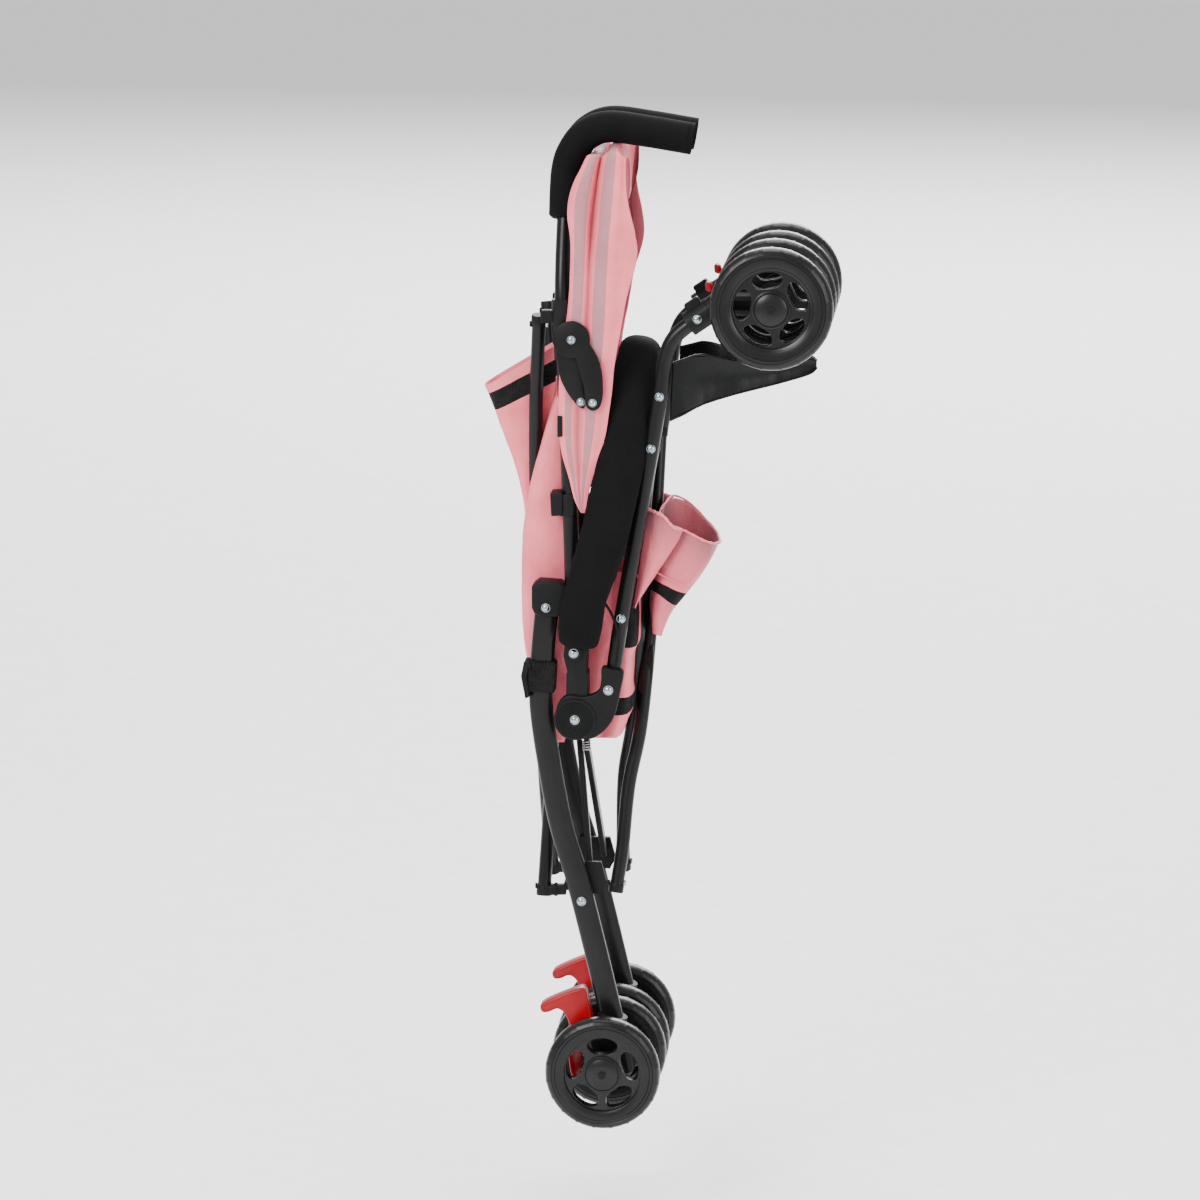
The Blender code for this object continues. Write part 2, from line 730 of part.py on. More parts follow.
def hanging_cloth(name, levels, pleats, material="fabric", around=32):
    """A closed cloth shape hung in folds: each level is (z, x, half x, half y, fold depth)."""
    mesh = bpy.data.meshes.new(name)
    bm = bmesh.new()
    rings = []
    for row, (z, x, wide, deep, fold) in enumerate(levels):
        ring = []
        for step in range(around):
            angle = math.tau * step / around
            pull = 1 - fold * (0.5 + 0.5 * math.cos(pleats * angle + 0.35 * row))
            place = (x + wide * pull * math.cos(angle), z)
            ring.append(bm.verts.new(at(place, deep * pull * math.sin(angle))))
        rings.append(ring)
    for lower, upper in zip(rings, rings[1:]):
        for step in range(around):
            after = (step + 1) % around
            bm.faces.new((lower[step], lower[after], upper[after], upper[step]))
    bm.faces.new(rings[0])
    bm.faces.new(rings[-1])
    bmesh.ops.recalc_face_normals(bm, faces=bm.faces)
    bm.to_mesh(mesh)
    bm.free()
    return finish(add(name, mesh, material))


def sheet(name, rows, material, thick):
    """A sheet of this thickness through rows of places; a None leaves an opening."""
    mesh = bpy.data.meshes.new(name)
    bm = bmesh.new()
    grid = [[place and bm.verts.new(place) for place in row] for row in rows]
    for lower, upper in zip(grid, grid[1:]):
        for step in range(len(lower) - 1):
            corners = (lower[step], lower[step + 1], upper[step + 1], upper[step])
            if all(corners):
                bm.faces.new(corners)
    bmesh.ops.recalc_face_normals(bm, faces=bm.faces)
    bm.to_mesh(mesh)
    bm.free()
    panel = add(name, mesh, material)
    skin = panel.modifiers.new("thickness", "SOLIDIFY")
    skin.thickness = thick * MM
    skin.offset = 0
    return apply_modifiers(panel)


def mirrored(row):
    """The row carried on to the far side: the same places with y turned over, from the last to the first."""
    return [place and Vector((place.x, -place.y, place.z)) for place in reversed(row)]


def canopy_row(level):
    """Near side places of the folded canopy at one level, from its rear edge over both bows to its front."""
    z, rear, first, second, front, reach = level
    half = 7 * min(reach, 1)
    outer = -71.2 if z < CANOPY_PIVOT[1] else -69.8
    columns = (
        (rear, outer),
        (first - half, outer),
        (first + half, outer),
        ((first + second) / 2, -50),
        (second - half, -71.2),
        (second + half, -74),
        ((second + half + front) / 2, -70),
        (front, -60),
    )
    return [at((x, z), CANOPY_INNER + (y - CANOPY_INNER) * reach) for x, y in columns]


def canopy_fabric():
    """The canopy folded over its two bows: up the near side, over the top and down the far side."""
    near = [canopy_row(level) for level in CANOPY]
    for share, drop in ((0.85, 4), (0.45, 0), (0, 0)):
        heights = (437, 447, 447, 418, 455, 457, 446, 420)
        row = []
        for place, z in zip(near[len(CANOPY) - 1], heights):
            row.append(Vector((place.x, place.y * share, (z - drop - ORIGIN[1]) * MM)))
        near.append(row)
    rows = near + [[Vector((p.x, -p.y, p.z)) for p in row] for row in reversed(near[:-1])]
    return finish(sheet("canopy_fabric", rows, "fabric", CLOTH_THICK))


def seat_back_fabric():
    """The seat back, a trough hung between the side frames; its upper part lies behind the crossing tubes."""
    rows = []
    for z, front, front_y, rear, corner_y in SEAT_BACK:
        row = [at((front, z), -front_y), at(((front + rear) / 2, z), -(front_y + corner_y) / 2 - 1)]
        row.append(at((rear, z), -corner_y))
        row.append(at((rear - 4, z), -corner_y * 0.3) if z > SEAT_BACK_CLOSED else None)
        rows.append(row + mirrored(row))
    return finish(sheet("seat_back_fabric", rows, "fabric", CLOTH_THICK))


def seat_sling_fabric():
    levels = (
        (-136, -14, 9, 26, 0.2),
        (-110, -13, 15, 32, 0.3),
        (-50, -11, 19, 34, 0.3),
        (20, -9, 19, 34, 0.3),
        (80, -9, 15, 30, 0.25),
        (96, -10, 8, 22, 0.2),
    )
    return hanging_cloth("seat_sling_fabric", levels, 6)


def basket_fabric(side, word):
    """This side's half of the pouch, with its open mouth."""
    levels = (
        (-22, 88, 14, 30, 0.2),
        (10, 92, 20, 36, 0.25),
        (50, 98, 22, 38, 0.2),
        (84, 104, 21, 38, 0.15),
        (106, 106, 16, 36, 0.1),
    )
    pouch = hanging_cloth(f"basket_fabric_{word}", levels, 5)
    mouth = block("mouth", at((105, 75)), (18, 46, 90), "fabric", bevel=0, group="cutters")
    half = at((95, 40), -side * 50)
    other = block("other_half", half, (120, 100.4, 300), "fabric", bevel=0, group="cutters")
    return finish(cut(pouch, mouth, other))


def leg_strap():
    """The webbing loop round the near rear leg, below its bracket."""
    y = -HALF_WIDTH
    band = block("leg_strap", at((-54, -66), y), (30, 20.5, 32), "webbing", 0.05, 2)
    bore = REAR_LEG_WIDE / 2 + 0.4
    inside = tube("strap_bore", side_path(REAR_LEG, 0), bore, "webbing", 14, 4, "cutters")
    for vertex in inside.data.vertices:
        vertex.co.y = vertex.co.y * (REAR_LEG_THIN + 1.6) / REAR_LEG_WIDE + y * MM
    return finish(cut(band, inside), at(REAR_PIVOT, y))


def tie_cord():
    """The thin cord beside the near front leg, from its upper tie down to the elbow."""
    route = ((6, 16), (16, 0), (17.5, -20), (16.5, -42), (12, -56))
    places = [at(place, -HALF_WIDTH - 14 - 0.3 * i) for i, place in enumerate(route)]
    cord = tube("tie_cord", places, 1.1, "webbing", 14, 1)
    return finish(cord, at(KNUCKLE, -HALF_WIDTH))


def build():
    clear_scene()
    for side, word in ((-1, "near"), (1, "far")):
        y = side * HALF_WIDTH
        push_tube(side, word)
        handle_grip(side, word)
        upper_bracket(side, word)
        recline_clip(side, word)
        leg_bracket(side, word)
        knuckle(side, word)
        elbow(side, word)
        front_leg(side, word)
        castor_housing(side, word)
        swivel_lock(side, word)
        castor_fork(side, word)
        wheel(f"castor_wheel_{word}_outer", CASTOR_WHEEL, y + side * CASTOR_TRACK)
        wheel(f"castor_wheel_{word}_inner", CASTOR_WHEEL, y - side * CASTOR_TRACK)
        rear_leg(side, word)
        axle_housing(side, word)
        brake_pedal(side, word)
        cross_bracket(side, word)
        wheel(f"rear_wheel_{word}_outer", REAR_AXLE, y + side * REAR_TRACK)
        wheel(f"rear_wheel_{word}_inner", REAR_AXLE, y - side * REAR_TRACK)
        bow = side * CROSS_BOW
        cross_tube(f"rear_cross_tube_{word}", REAR_X_TOP, REAR_X_LOW, side, bow, side * CROSS_Y)
        cross_tube(f"lower_cross_tube_{word}", LOWER_X_TOP, LOWER_X_LOW, side, bow, side * CROSS_Y)
        brace_link(side, word)
        footrest(side, word)
        bumper(side, word)
        basket_fabric(side, word)
        canopy_bow(f"canopy_rear_bow_{word}", side, REAR_BOW, REAR_ARM, REAR_ARM_Y)
        canopy_bow(f"canopy_front_bow_{word}", side, FRONT_BOW, FRONT_ARM, FRONT_ARM_Y)
    canopy_fabric()
    seat_back_fabric()
    seat_sling_fabric()
    leg_strap()
    tie_cord()


build()
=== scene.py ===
"""Looks of the folded umbrella stroller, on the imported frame.

Side view places are millimetres (x, z) from the middle of the frame, with y from the near side to the far
one, and at() moves them to metres under the crooks. spot() gives the place at a depth y that the photograph
shows at a pixel.
"""

import math

import bmesh
import bpy
from mathutils import Matrix, Vector, noise


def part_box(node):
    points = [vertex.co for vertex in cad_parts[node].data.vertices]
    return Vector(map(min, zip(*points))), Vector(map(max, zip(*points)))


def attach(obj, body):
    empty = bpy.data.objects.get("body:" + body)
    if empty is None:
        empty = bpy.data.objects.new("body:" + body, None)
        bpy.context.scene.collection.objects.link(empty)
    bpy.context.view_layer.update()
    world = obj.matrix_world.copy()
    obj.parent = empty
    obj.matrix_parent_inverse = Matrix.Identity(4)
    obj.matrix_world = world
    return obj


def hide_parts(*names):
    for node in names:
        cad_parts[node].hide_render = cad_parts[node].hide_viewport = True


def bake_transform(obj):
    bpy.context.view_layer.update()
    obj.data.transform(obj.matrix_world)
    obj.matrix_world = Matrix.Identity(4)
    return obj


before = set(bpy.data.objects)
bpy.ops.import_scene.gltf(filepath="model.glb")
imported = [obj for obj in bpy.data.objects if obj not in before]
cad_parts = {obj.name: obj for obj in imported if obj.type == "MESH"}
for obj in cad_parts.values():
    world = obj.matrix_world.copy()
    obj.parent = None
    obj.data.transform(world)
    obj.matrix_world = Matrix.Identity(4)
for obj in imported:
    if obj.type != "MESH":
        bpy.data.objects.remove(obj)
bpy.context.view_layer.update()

MM = 0.001
ORIGIN_X, ORIGIN_Z = 30.0, 479.0
AZIMUTH, ELEVATION = math.radians(5.2), math.radians(11.8)
DISTANCE = 5270.0
FOCAL_PX = 5164.6
IMAGE = 1200
SENSOR = 36.0

HALF_WIDTH = 62.0
TUBE_R = 7.75
SIDES = ((-1, "near"), (1, "far"))

PUSH_TUBE = ((-20.5, -60), (-21, -20), (-24, 90), (-28, 200), (-32, 318), (-32, 400), (-31, 443))
CROOK = ((-25.5, 461), (-12, 478.5), (11, 487), (51, 482.5), (79.5, 478))
GRIP_LOW = ((-32, 397), (-32, 420), (-31, 443))
GRIP_END = (95, 475.5)
FRONT_LEG = ((19, -64), (27.6, -4.4), (42, 80), (57.5, 169.7), (65.8, 222.5), (70, 256), (79, 280), (97, 297))
REAR_LEG = (
    (-48, 6), (-53, -50), (-54, -100), (-44, -170), (-33, -226), (-18, -276), (-1.5, -342), (18, -424),
)
KNUCKLE = (-18.4, -107.8)
CANOPY_PIVOT = (-21.4, 280.6)
CASTOR_WHEEL = (178.5, 316.4)
REAR_AXLE = (12.0, -470.5)
LEAN_FROM, LEAN_TO, LEAN = 318.0, 443.0, 0.645
BUMPER = (
    # side view place, distance from the middle, then half the width and half the depth of the foam
    (-14, -30, 88, 9, 15),
    (-13.5, -25, 88, 12, 20),
    (-12, -8, 88, 12, 22.5),
    (-7, 20, 87, 12, 21.5),
    (2, 50, 85, 12, 23.5),
    (10, 76, 83, 12.5, 24),
    (19, 116, 77, 12.5, 24),
    (29, 166, 65, 13, 24),
    (35, 212, 48, 13.5, 23),
    (38, 238, 34, 14, 22),
    (40, 252, 19, 15, 21),
    (40, 257, 8, 15.5, 20.5),
)
FOOTREST = (
    # distance ahead, the lower edge and the upper edge
    (75, 196, 254),
    (88, 202, 258),
    (101, 208.5, 261),
    (114, 213.5, 260),
    (142, 221, 253),
    (183, 230, 252),
    (211, 237.5, 254),
    (219, 243, 250),
)
REAR_X_TOP, REAR_X_LOW = (-57.0, 298.0), (-53.5, -298.0)
LOWER_X = ((58, 170), (53, 120), (48, 22), (45, -41), (38, -127), (27.5, -188), (23.5, -252), (20.5, -293))
REAR_ARM_Y, FRONT_ARM_Y = 74.6, 78.8
REAR_BOW = ((-16, 290), (-12, 330), (-9, 400), (-4, 444))
FRONT_BOW = ((-13, 290), (8, 335), (12, 400), (15, 452))
# The crossing tubes' ends and the cloth beside them, from the middle
CROSS_Y, CROSS_GAP = 46.0, 9
# Wheels: from the leg's middle, size against the solids, and where the first opening is, in degrees
CASTOR_APART, CASTOR_SIZE, CASTOR_START = 32.0, 1.035, 27
REAR_APART, REAR_SIZE, REAR_START = 40.0, 0.99, 18
# The floor clears the castors when the frame is open
FLOOR_DROP, FLOOR_SIZE = 175, 14.0


def at(place, y=0.0):
    return Vector(((place[0] - ORIGIN_X) * MM, y * MM, (place[1] - ORIGIN_Z) * MM))


def clamped(value):
    return min(max(value, 0), 1)

def leaning(places, y):
    """The crooks lean together above their brackets."""
    path = []
    for place in places:
        share = clamped((place[1] - LEAN_FROM) / (LEAN_TO - LEAN_FROM))
        path.append(at(place, y * (1 - LEAN * share)))
    return path


def view_axes():
    right = Vector((math.cos(AZIMUTH), math.sin(AZIMUTH), 0))
    level = math.cos(ELEVATION)
    ahead = Vector((-math.sin(AZIMUTH) * level, math.cos(AZIMUTH) * level, -math.sin(ELEVATION)))
    return right, right.cross(ahead), ahead


def spot(px, py, y):
    """The place at depth y mm that the photograph shows at this pixel."""
    right, up, ahead = view_axes()
    ray = ahead * FOCAL_PX + right * (px - IMAGE / 2) - up * (py - IMAGE / 2)
    eye = -ahead * DISTANCE
    reach = (y - eye.y) / ray.y
    hit = eye + ray * reach
    return at((hit.x, hit.z), y)


def new_object(name, data):
    obj = bpy.data.objects.new(name, data)
    bpy.context.scene.collection.objects.link(obj)
    return obj


def aim(obj, place, ahead):
    obj.location = place
    obj.rotation_mode = "QUATERNION"
    obj.rotation_quaternion = ahead.to_track_quat("-Z", "Y")


def make_camera():
    ahead = view_axes()[2]
    data = bpy.data.cameras.new("camera")
    data.sensor_fit = "HORIZONTAL"
    data.sensor_width = SENSOR
    data.lens = SENSOR * FOCAL_PX / IMAGE
    data.clip_start = 0.1
    data.clip_end = 60
    camera = new_object("camera", data)
    aim(camera, at((0, 0)) - ahead * DISTANCE * MM, ahead)
    bpy.context.scene.camera = camera


# Materials


class Finish:
    """A Principled material with a few node helpers."""

    def __init__(self, name):
        self.material = bpy.data.materials.new(name)
        self.material.use_nodes = True
        self.tree = self.material.node_tree
        self.shader = self.tree.nodes["Principled BSDF"]
        self.place = self.node("TexCoord").outputs["Object"]

    def node(self, kind, **values):
        node = self.tree.nodes.new("ShaderNode" + kind)
        for key, value in values.items():
            node.inputs[key.replace("_", " ")].default_value = value
        return node

    def set(self, **values):
        for key, value in values.items():
            self.shader.inputs[key.replace("_", " ")].default_value = value

    def link(self, a, b):
        self.tree.links.new(a, b)

    def feed(self, value, socket):
        """Puts a number or a colour in the socket, or links an output to it."""
        if isinstance(value, (int, float)):
            socket.default_value = value
        elif isinstance(value, tuple):
            socket.default_value = (*value, 1.0)
        else:
            self.link(value, socket)

    def noise(self, scale, detail=3.0, rough=0.5, stretch=None):
        node = self.node("TexNoise", Scale=scale, Detail=detail, Roughness=rough)
        self.link(self.stretched(stretch) if stretch else self.place, node.inputs["Vector"])
        return node.outputs["Fac"]

    def stretched(self, factors):
        node = self.node("Mapping", Scale=factors)
        self.link(self.place, node.inputs["Vector"])
        return node.outputs["Vector"]

    def wave(self, scale, axis, distortion=0.0):
        node = self.node("TexWave", Scale=scale, Distortion=distortion)
        node.bands_direction = axis
        self.link(self.place, node.inputs["Vector"])
        return node.outputs["Fac"]

    def cells(self, scale):
        node = self.node("TexVoronoi", Scale=scale)
        self.link(self.place, node.inputs["Vector"])
        return node.outputs["Distance"]

    def attribute(self, name):
        node = self.node("Attribute")
        node.attribute_name = name
        return node.outputs["Fac"]

    def math(self, operation, a, b):
        node = self.node("Math")
        node.operation = operation
        self.feed(a, node.inputs[0])
        self.feed(b, node.inputs[1])
        return node.outputs[0]

    def ramp(self, source, stops):
        node = self.node("ValToRGB")
        ramp = node.color_ramp
        while len(ramp.elements) < len(stops):
            ramp.elements.new(0.5)
        for element, (place, colour) in zip(ramp.elements, stops):
            element.position = place
            element.color = (*colour, 1.0)
        self.link(source, node.inputs["Fac"])
        return node.outputs["Color"]

    def blend(self, share, a, b, mode="MIX"):
        node = self.node("Mix")
        node.data_type = "RGBA"
        node.blend_type = mode
        # in this mode the share is socket 0 and the colours are sockets 6 and 7
        for value, number in ((share, 0), (a, 6), (b, 7)):
            self.feed(value, node.inputs[number])
        return node.outputs[2]

    def span(self, source, low, high):
        node = self.node("MapRange", To_Min=low, To_Max=high)
        self.link(source, node.inputs["Value"])
        return node.outputs["Result"]

    def colour(self, source):
        self.link(source, self.shader.inputs["Base Color"])

    def rough(self, source, low, high):
        self.link(self.span(source, low, high), self.shader.inputs["Roughness"])

    def bump(self, source, strength, depth):
        node = self.node("Bump", Strength=strength, Distance=depth)
        self.link(source, node.inputs["Height"])
        self.link(node.outputs["Normal"], self.shader.inputs["Normal"])


def speckled(name, dark, light, rough, grain, strength, depth, **values):
    """A moulded or painted surface: cloudy colour, uneven gloss and a fine grain."""
    finish = Finish(name)
    cloud = finish.noise(26, 4)
    finish.colour(finish.ramp(cloud, ((0.35, dark), (0.7, light))))
    finish.rough(finish.noise(60, 3), *rough)
    finish.bump(finish.noise(grain, 2), strength, depth)
    finish.set(**values)
    return finish.material


def foam_finish():
    finish = Finish("grip_foam")
    pores = finish.cells(1500)
    cloud = finish.noise(40, 3)
    tint = finish.ramp(cloud, ((0.3, (0.0025, 0.0025, 0.0027)), (0.7, (0.0045, 0.0045, 0.005))))
    finish.colour(finish.blend(finish.span(pores, 0.0, 0.5), tint, (0.0065, 0.0065, 0.007)))
    finish.rough(cloud, 0.78, 0.95)
    finish.bump(pores, 0.35, 0.0004)
    finish.set(Specular_IOR_Level=0.07)
    return finish.material


def cloth_finish(name, light, shade, fold, gloss):
    """Woven cloth: a plain weave, large soft variation, and painted shade, the fold colour where the mesh is
    marked deep.
    """
    finish = Finish(name)
    weave_z = finish.wave(230, "Z", 0.6)
    weave_x = finish.wave(230, "X", 0.6)
    weave_y = finish.wave(230, "Y", 0.6)
    threads = finish.math("MULTIPLY", finish.math("ADD", weave_x, weave_y), weave_z)
    cloud = finish.noise(22, 5, 0.55)
    base = finish.ramp(cloud, ((0.3, shade), (0.68, light)))
    base = finish.blend(finish.span(threads, 0.0, 0.16), base, (0.66, 0.55, 0.56), "MULTIPLY")
    # painted shade: where the mesh is marked deep the colour goes to fold, the painted shade colour
    deep = finish.attribute("deep")
    finish.colour(finish.blend(deep, base, fold))
    finish.rough(finish.noise(90, 3), *gloss)
    creases = finish.noise(34, 6, 0.62, (1, 1, 0.35))
    height = finish.math("ADD", finish.math("MULTIPLY", threads, 0.12), creases)
    finish.bump(height, 0.4, 0.004)
    finish.set(Sheen_Weight=0.05, Sheen_Roughness=0.4, Sheen_Tint=(1.0, 0.86, 0.88, 1.0))
    finish.set(Specular_IOR_Level=0.25)
    return finish.material


def webbing_finish():
    finish = Finish("webbing")
    along = finish.wave(180, "Z")
    across = finish.math("ADD", finish.wave(90, "X"), finish.wave(90, "Y"))
    ribs = finish.math("MULTIPLY", along, across)
    cloud = finish.noise(120, 4)
    finish.colour(finish.ramp(cloud, ((0.3, (0.004, 0.004, 0.004)), (0.75, (0.012, 0.011, 0.011)))))
    finish.rough(cloud, 0.7, 0.92)
    finish.bump(ribs, 0.6, 0.0008)
    finish.set(Specular_IOR_Level=0.12)
    return finish.material


def zinc_finish():
    finish = Finish("zinc")
    cloud = finish.noise(220, 4)
    finish.colour(finish.ramp(cloud, ((0.3, (0.2, 0.25, 0.28)), (0.7, (0.42, 0.48, 0.51)))))
    finish.rough(finish.noise(700, 2), 0.1, 0.22)
    finish.bump(finish.noise(900, 2), 0.12, 0.0002)
    finish.set(Metallic=1.0)
    return finish.material


def gloss_finish():
    finish = Finish("gloss_sheet")
    cloud = finish.noise(14, 4)
    finish.colour(finish.ramp(cloud, ((0.3, (0.0035, 0.0035, 0.004)), (0.75, (0.007, 0.0075, 0.008)))))
    finish.rough(finish.noise(50, 3), 0.2, 0.32)
    finish.bump(finish.noise(38, 4, 0.5, (1, 1, 0.4)), 0.2, 0.003)
    finish.set(Specular_IOR_Level=0.16)
    return finish.material


BLACK = (0.0028, 0.003, 0.0031), (0.0052, 0.0054, 0.0056)
TUBE = speckled("tube_black", *BLACK, (0.24, 0.36), 2600, 0.12, 0.0002, Specular_IOR_Level=0.2)
PLASTIC = speckled("matte_plastic", *BLACK, (0.42, 0.58), 1900, 0.22, 0.0003, Specular_IOR_Level=0.14)
DARK_PLASTIC = speckled("wheel_plastic", *BLACK, (0.22, 0.34), 1700, 0.15, 0.0002, Specular_IOR_Level=0.26)
RUBBER = speckled("tyre_rubber", *BLACK, (0.24, 0.36), 1300, 0.2, 0.0003, Specular_IOR_Level=0.24)
RED = speckled(
    "red_plastic", (0.2, 0.0, 0.002), (0.3, 0.0, 0.004), (0.24, 0.36), 1500, 0.1, 0.0002,
    Specular_IOR_Level=0.25,
)
FOAM = foam_finish()
ZINC = zinc_finish()
GLOSS = gloss_finish()
WEBBING = webbing_finish()
# The third colour of each cloth is its painted shade, for folds, hollows and edges.
PINK = cloth_finish(
    "pink_cloth", (0.95, 0.205, 0.245), (0.78, 0.145, 0.18), (0.36, 0.06, 0.085), (0.5, 0.68)
)
SLEEVE = cloth_finish(
    "sleeve_cloth", (0.42, 0.18, 0.205), (0.35, 0.14, 0.165), (0.3, 0.07, 0.09), (0.45, 0.62)
)
# The basket's cloth, a little darker than the pink, with a dark fold colour for painted shade
BASKET_PINK = cloth_finish(
    "basket_pink_cloth", (0.88, 0.18, 0.22), (0.68, 0.125, 0.16), (0.17, 0.065, 0.08), (0.38, 0.55)
)
# A darker copy of the pink: painted shade on the canopy's inner edge
SHADED_PINK = cloth_finish(
    "pink_painted_shade_cloth", (0.42, 0.08, 0.105), (0.3, 0.05, 0.07), (0.16, 0.025, 0.035), (0.5, 0.65)
)


# Mesh helpers


def shade(mesh):
    mesh.shade_smooth()
    mesh.set_sharp_from_angle(angle=math.radians(40))


def add_mesh(name, verts, faces, material, body=None):
    mesh = bpy.data.meshes.new(name)
    mesh.from_pydata([tuple(v) for v in verts], [], faces)
    mesh.materials.append(material)
    bm = bmesh.new()
    bm.from_mesh(mesh)
    bmesh.ops.recalc_face_normals(bm, faces=bm.faces)
    bm.to_mesh(mesh)
    bm.free()
    shade(mesh)
    obj = new_object(name, mesh)
    if body:
        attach(obj, body)
    return obj


def curve_point(knots, t):
    """The place at share t between the middle two of four knots of a Catmull-Rom curve."""
    p0, p1, p2, p3 = knots
    turn = (p2 - p0) * t + (2 * p0 - 5 * p1 + 4 * p2 - p3) * t**2 + (3 * p1 - 3 * p2 + p3 - p0) * t**3
    return 0.5 * (2 * p1 + turn)


def smooth_route(points, count):
    """Points along a Catmull-Rom curve through the route's own points."""
    points = [Vector(p) for p in points]
    ends = [points[0] * 2 - points[1]] + points + [points[-1] * 2 - points[-2]]
    route = []
    spans = len(points) - 1
    for step in range(count):
        place = step * spans / (count - 1)
        i = min(int(place), spans - 1)
        route.append(curve_point(ends[i : i + 4], place - i))
    return route


def swept_frames(route):
    """(place, across, up) at each point, turned as little as possible along the way."""
    frames = []
    across = Vector((0, 1, 0))
    for i, place in enumerate(route):
        ahead = (route[min(i + 1, len(route) - 1)] - route[max(i - 1, 0)]).normalized()
        across = (across - ahead * across.dot(ahead)).normalized()
        frames.append((place, across, ahead.cross(across)))
    return frames


def ring_faces(rows, count, closed=False):
    """Faces between neighbouring rings of count vertices, with a face at either end if not closed."""
    faces = []
    for row in range(rows if closed else rows - 1):
        below, above = row * count, (row + 1) % rows * count
        for step in range(count):
            after = (step + 1) % count
            faces.append((below + step, below + after, above + after, above + step))
    if not closed:
        faces.append(tuple(range(count)))
        faces.append(tuple((rows - 1) * count + step for step in range(count)))
    return faces


def sweep(name, points, sizes, material, body=None, count=48, sides=24, power=2.0):
    """A tube along a smooth route. sizes is (half across, half up) in mm, or a list of them spread along it.

    Its first end is bevelled, and the face of its last end is set back inside it by one ring.
    """
    sizes = sizes if isinstance(sizes, list) else [sizes]
    frames = swept_frames(smooth_route(points, count))
    rings = []
    last = len(frames) - 1
    for i, (place, across, up) in enumerate(frames):
        share = i / last * (len(sizes) - 1)
        k = min(int(share), max(len(sizes) - 2, 0))
        a, b = sizes[k], sizes[min(k + 1, len(sizes) - 1)]
        wide = a[0] + (b[0] - a[0]) * (share - k)
        tall = a[1] + (b[1] - a[1]) * (share - k)
        rings.append((place, across, up, wide, tall))
    for end, inward in ((0, 1), (last, -1)):
        place, across, up, wide, tall = rings[end]
        edge = min(wide, tall) * 0.18
        shrunk = (place, across, up, wide - edge, tall - edge)
        shift = (rings[end + inward][0] - place).normalized() * edge * MM
        rings[end] = (place + shift, across, up, wide, tall)
        rings = [shrunk] + rings if end == 0 else rings + [shrunk]
    verts = []
    for place, across, up, wide, tall in rings:
        for step in range(sides):
            angle = math.tau * step / sides
            c, s = math.cos(angle), math.sin(angle)
            c = math.copysign(abs(c) ** (2 / power), c)
            s = math.copysign(abs(s) ** (2 / power), s)
            verts.append(place + (across * c * wide + up * s * tall) * MM)
    return add_mesh(name, verts, ring_faces(len(rings), sides), material, body)


def turned(name, profile, centre, axis, material, body=None, segments=48, closed=False):
    """A surface of revolution: profile is (radius, distance along axis) in mm from centre."""
    axis = Vector(axis).normalized()
    a = axis.orthogonal().normalized()
    b = axis.cross(a)
    verts = []
    for radius, along in profile:
        for step in range(segments):
            angle = math.tau * step / segments
            verts.append(centre + (axis * along + (a * math.cos(angle) + b * math.sin(angle)) * radius) * MM)
    return add_mesh(name, verts, ring_faces(len(profile), segments, closed), material, body)


def evaluated_mesh(obj):
    bpy.context.view_layer.update()
    graph = bpy.context.evaluated_depsgraph_get()
    return bpy.data.meshes.new_from_object(obj.evaluated_get(graph))


def apply_modifiers(obj):
    mesh = evaluated_mesh(obj)
    obj.modifiers.clear()
    obj.data = mesh


def plate(name, places, y0, y1, bevel, material, body=None, round_to=0):
    """A prism with this outline in side view between two depths, with bevelled edges; round_to smooths it."""
    if round_to:
        places = rounded(places, round_to)
    front = [Vector((p.x, y0 * MM, p.z)) for p in places]
    back = [Vector((p.x, y1 * MM, p.z)) for p in places]
    n = len(places)
    faces = [tuple(range(n)), tuple(range(n, 2 * n))]
    faces += [(i, (i + 1) % n, n + (i + 1) % n, n + i) for i in range(n)]
    obj = add_mesh(name, front + back, faces, material)
    soften = obj.modifiers.new("edges", "BEVEL")
    soften.width = bevel * MM
    soften.segments = 3
    soften.limit_method = "ANGLE"
    soften.angle_limit = math.radians(50)
    apply_modifiers(obj)
    shade(obj.data)
    if body:
        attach(obj, body)
    return obj


def side_plates(name, corners, inner, outer, bevel, material, body, node=None, round_to=0):
    """The same plate on both sides. Its corners are pixels, read on the near one's outer face."""
    places = [spot(px, py, -outer) for px, py in corners]
    for side, word in SIDES:
        y0, y1 = side * inner, side * outer
        piece = plate(f"{name}_{word}", places, y0, y1, bevel, material, f"{word}_{body}", round_to)
        if node:
            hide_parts(f"{node}_{word}")


def rounded(places, steps):
    """A closed outline smoothed through its own points."""
    n = len(places)
    result = []
    for i in range(n):
        knots = [places[(i + k - 1) % n] for k in range(4)]
        result += [curve_point(knots, step / steps) for step in range(steps)]
    return result


def per_row(values, i):
    return values[i] if isinstance(values[0], (list, tuple)) else values


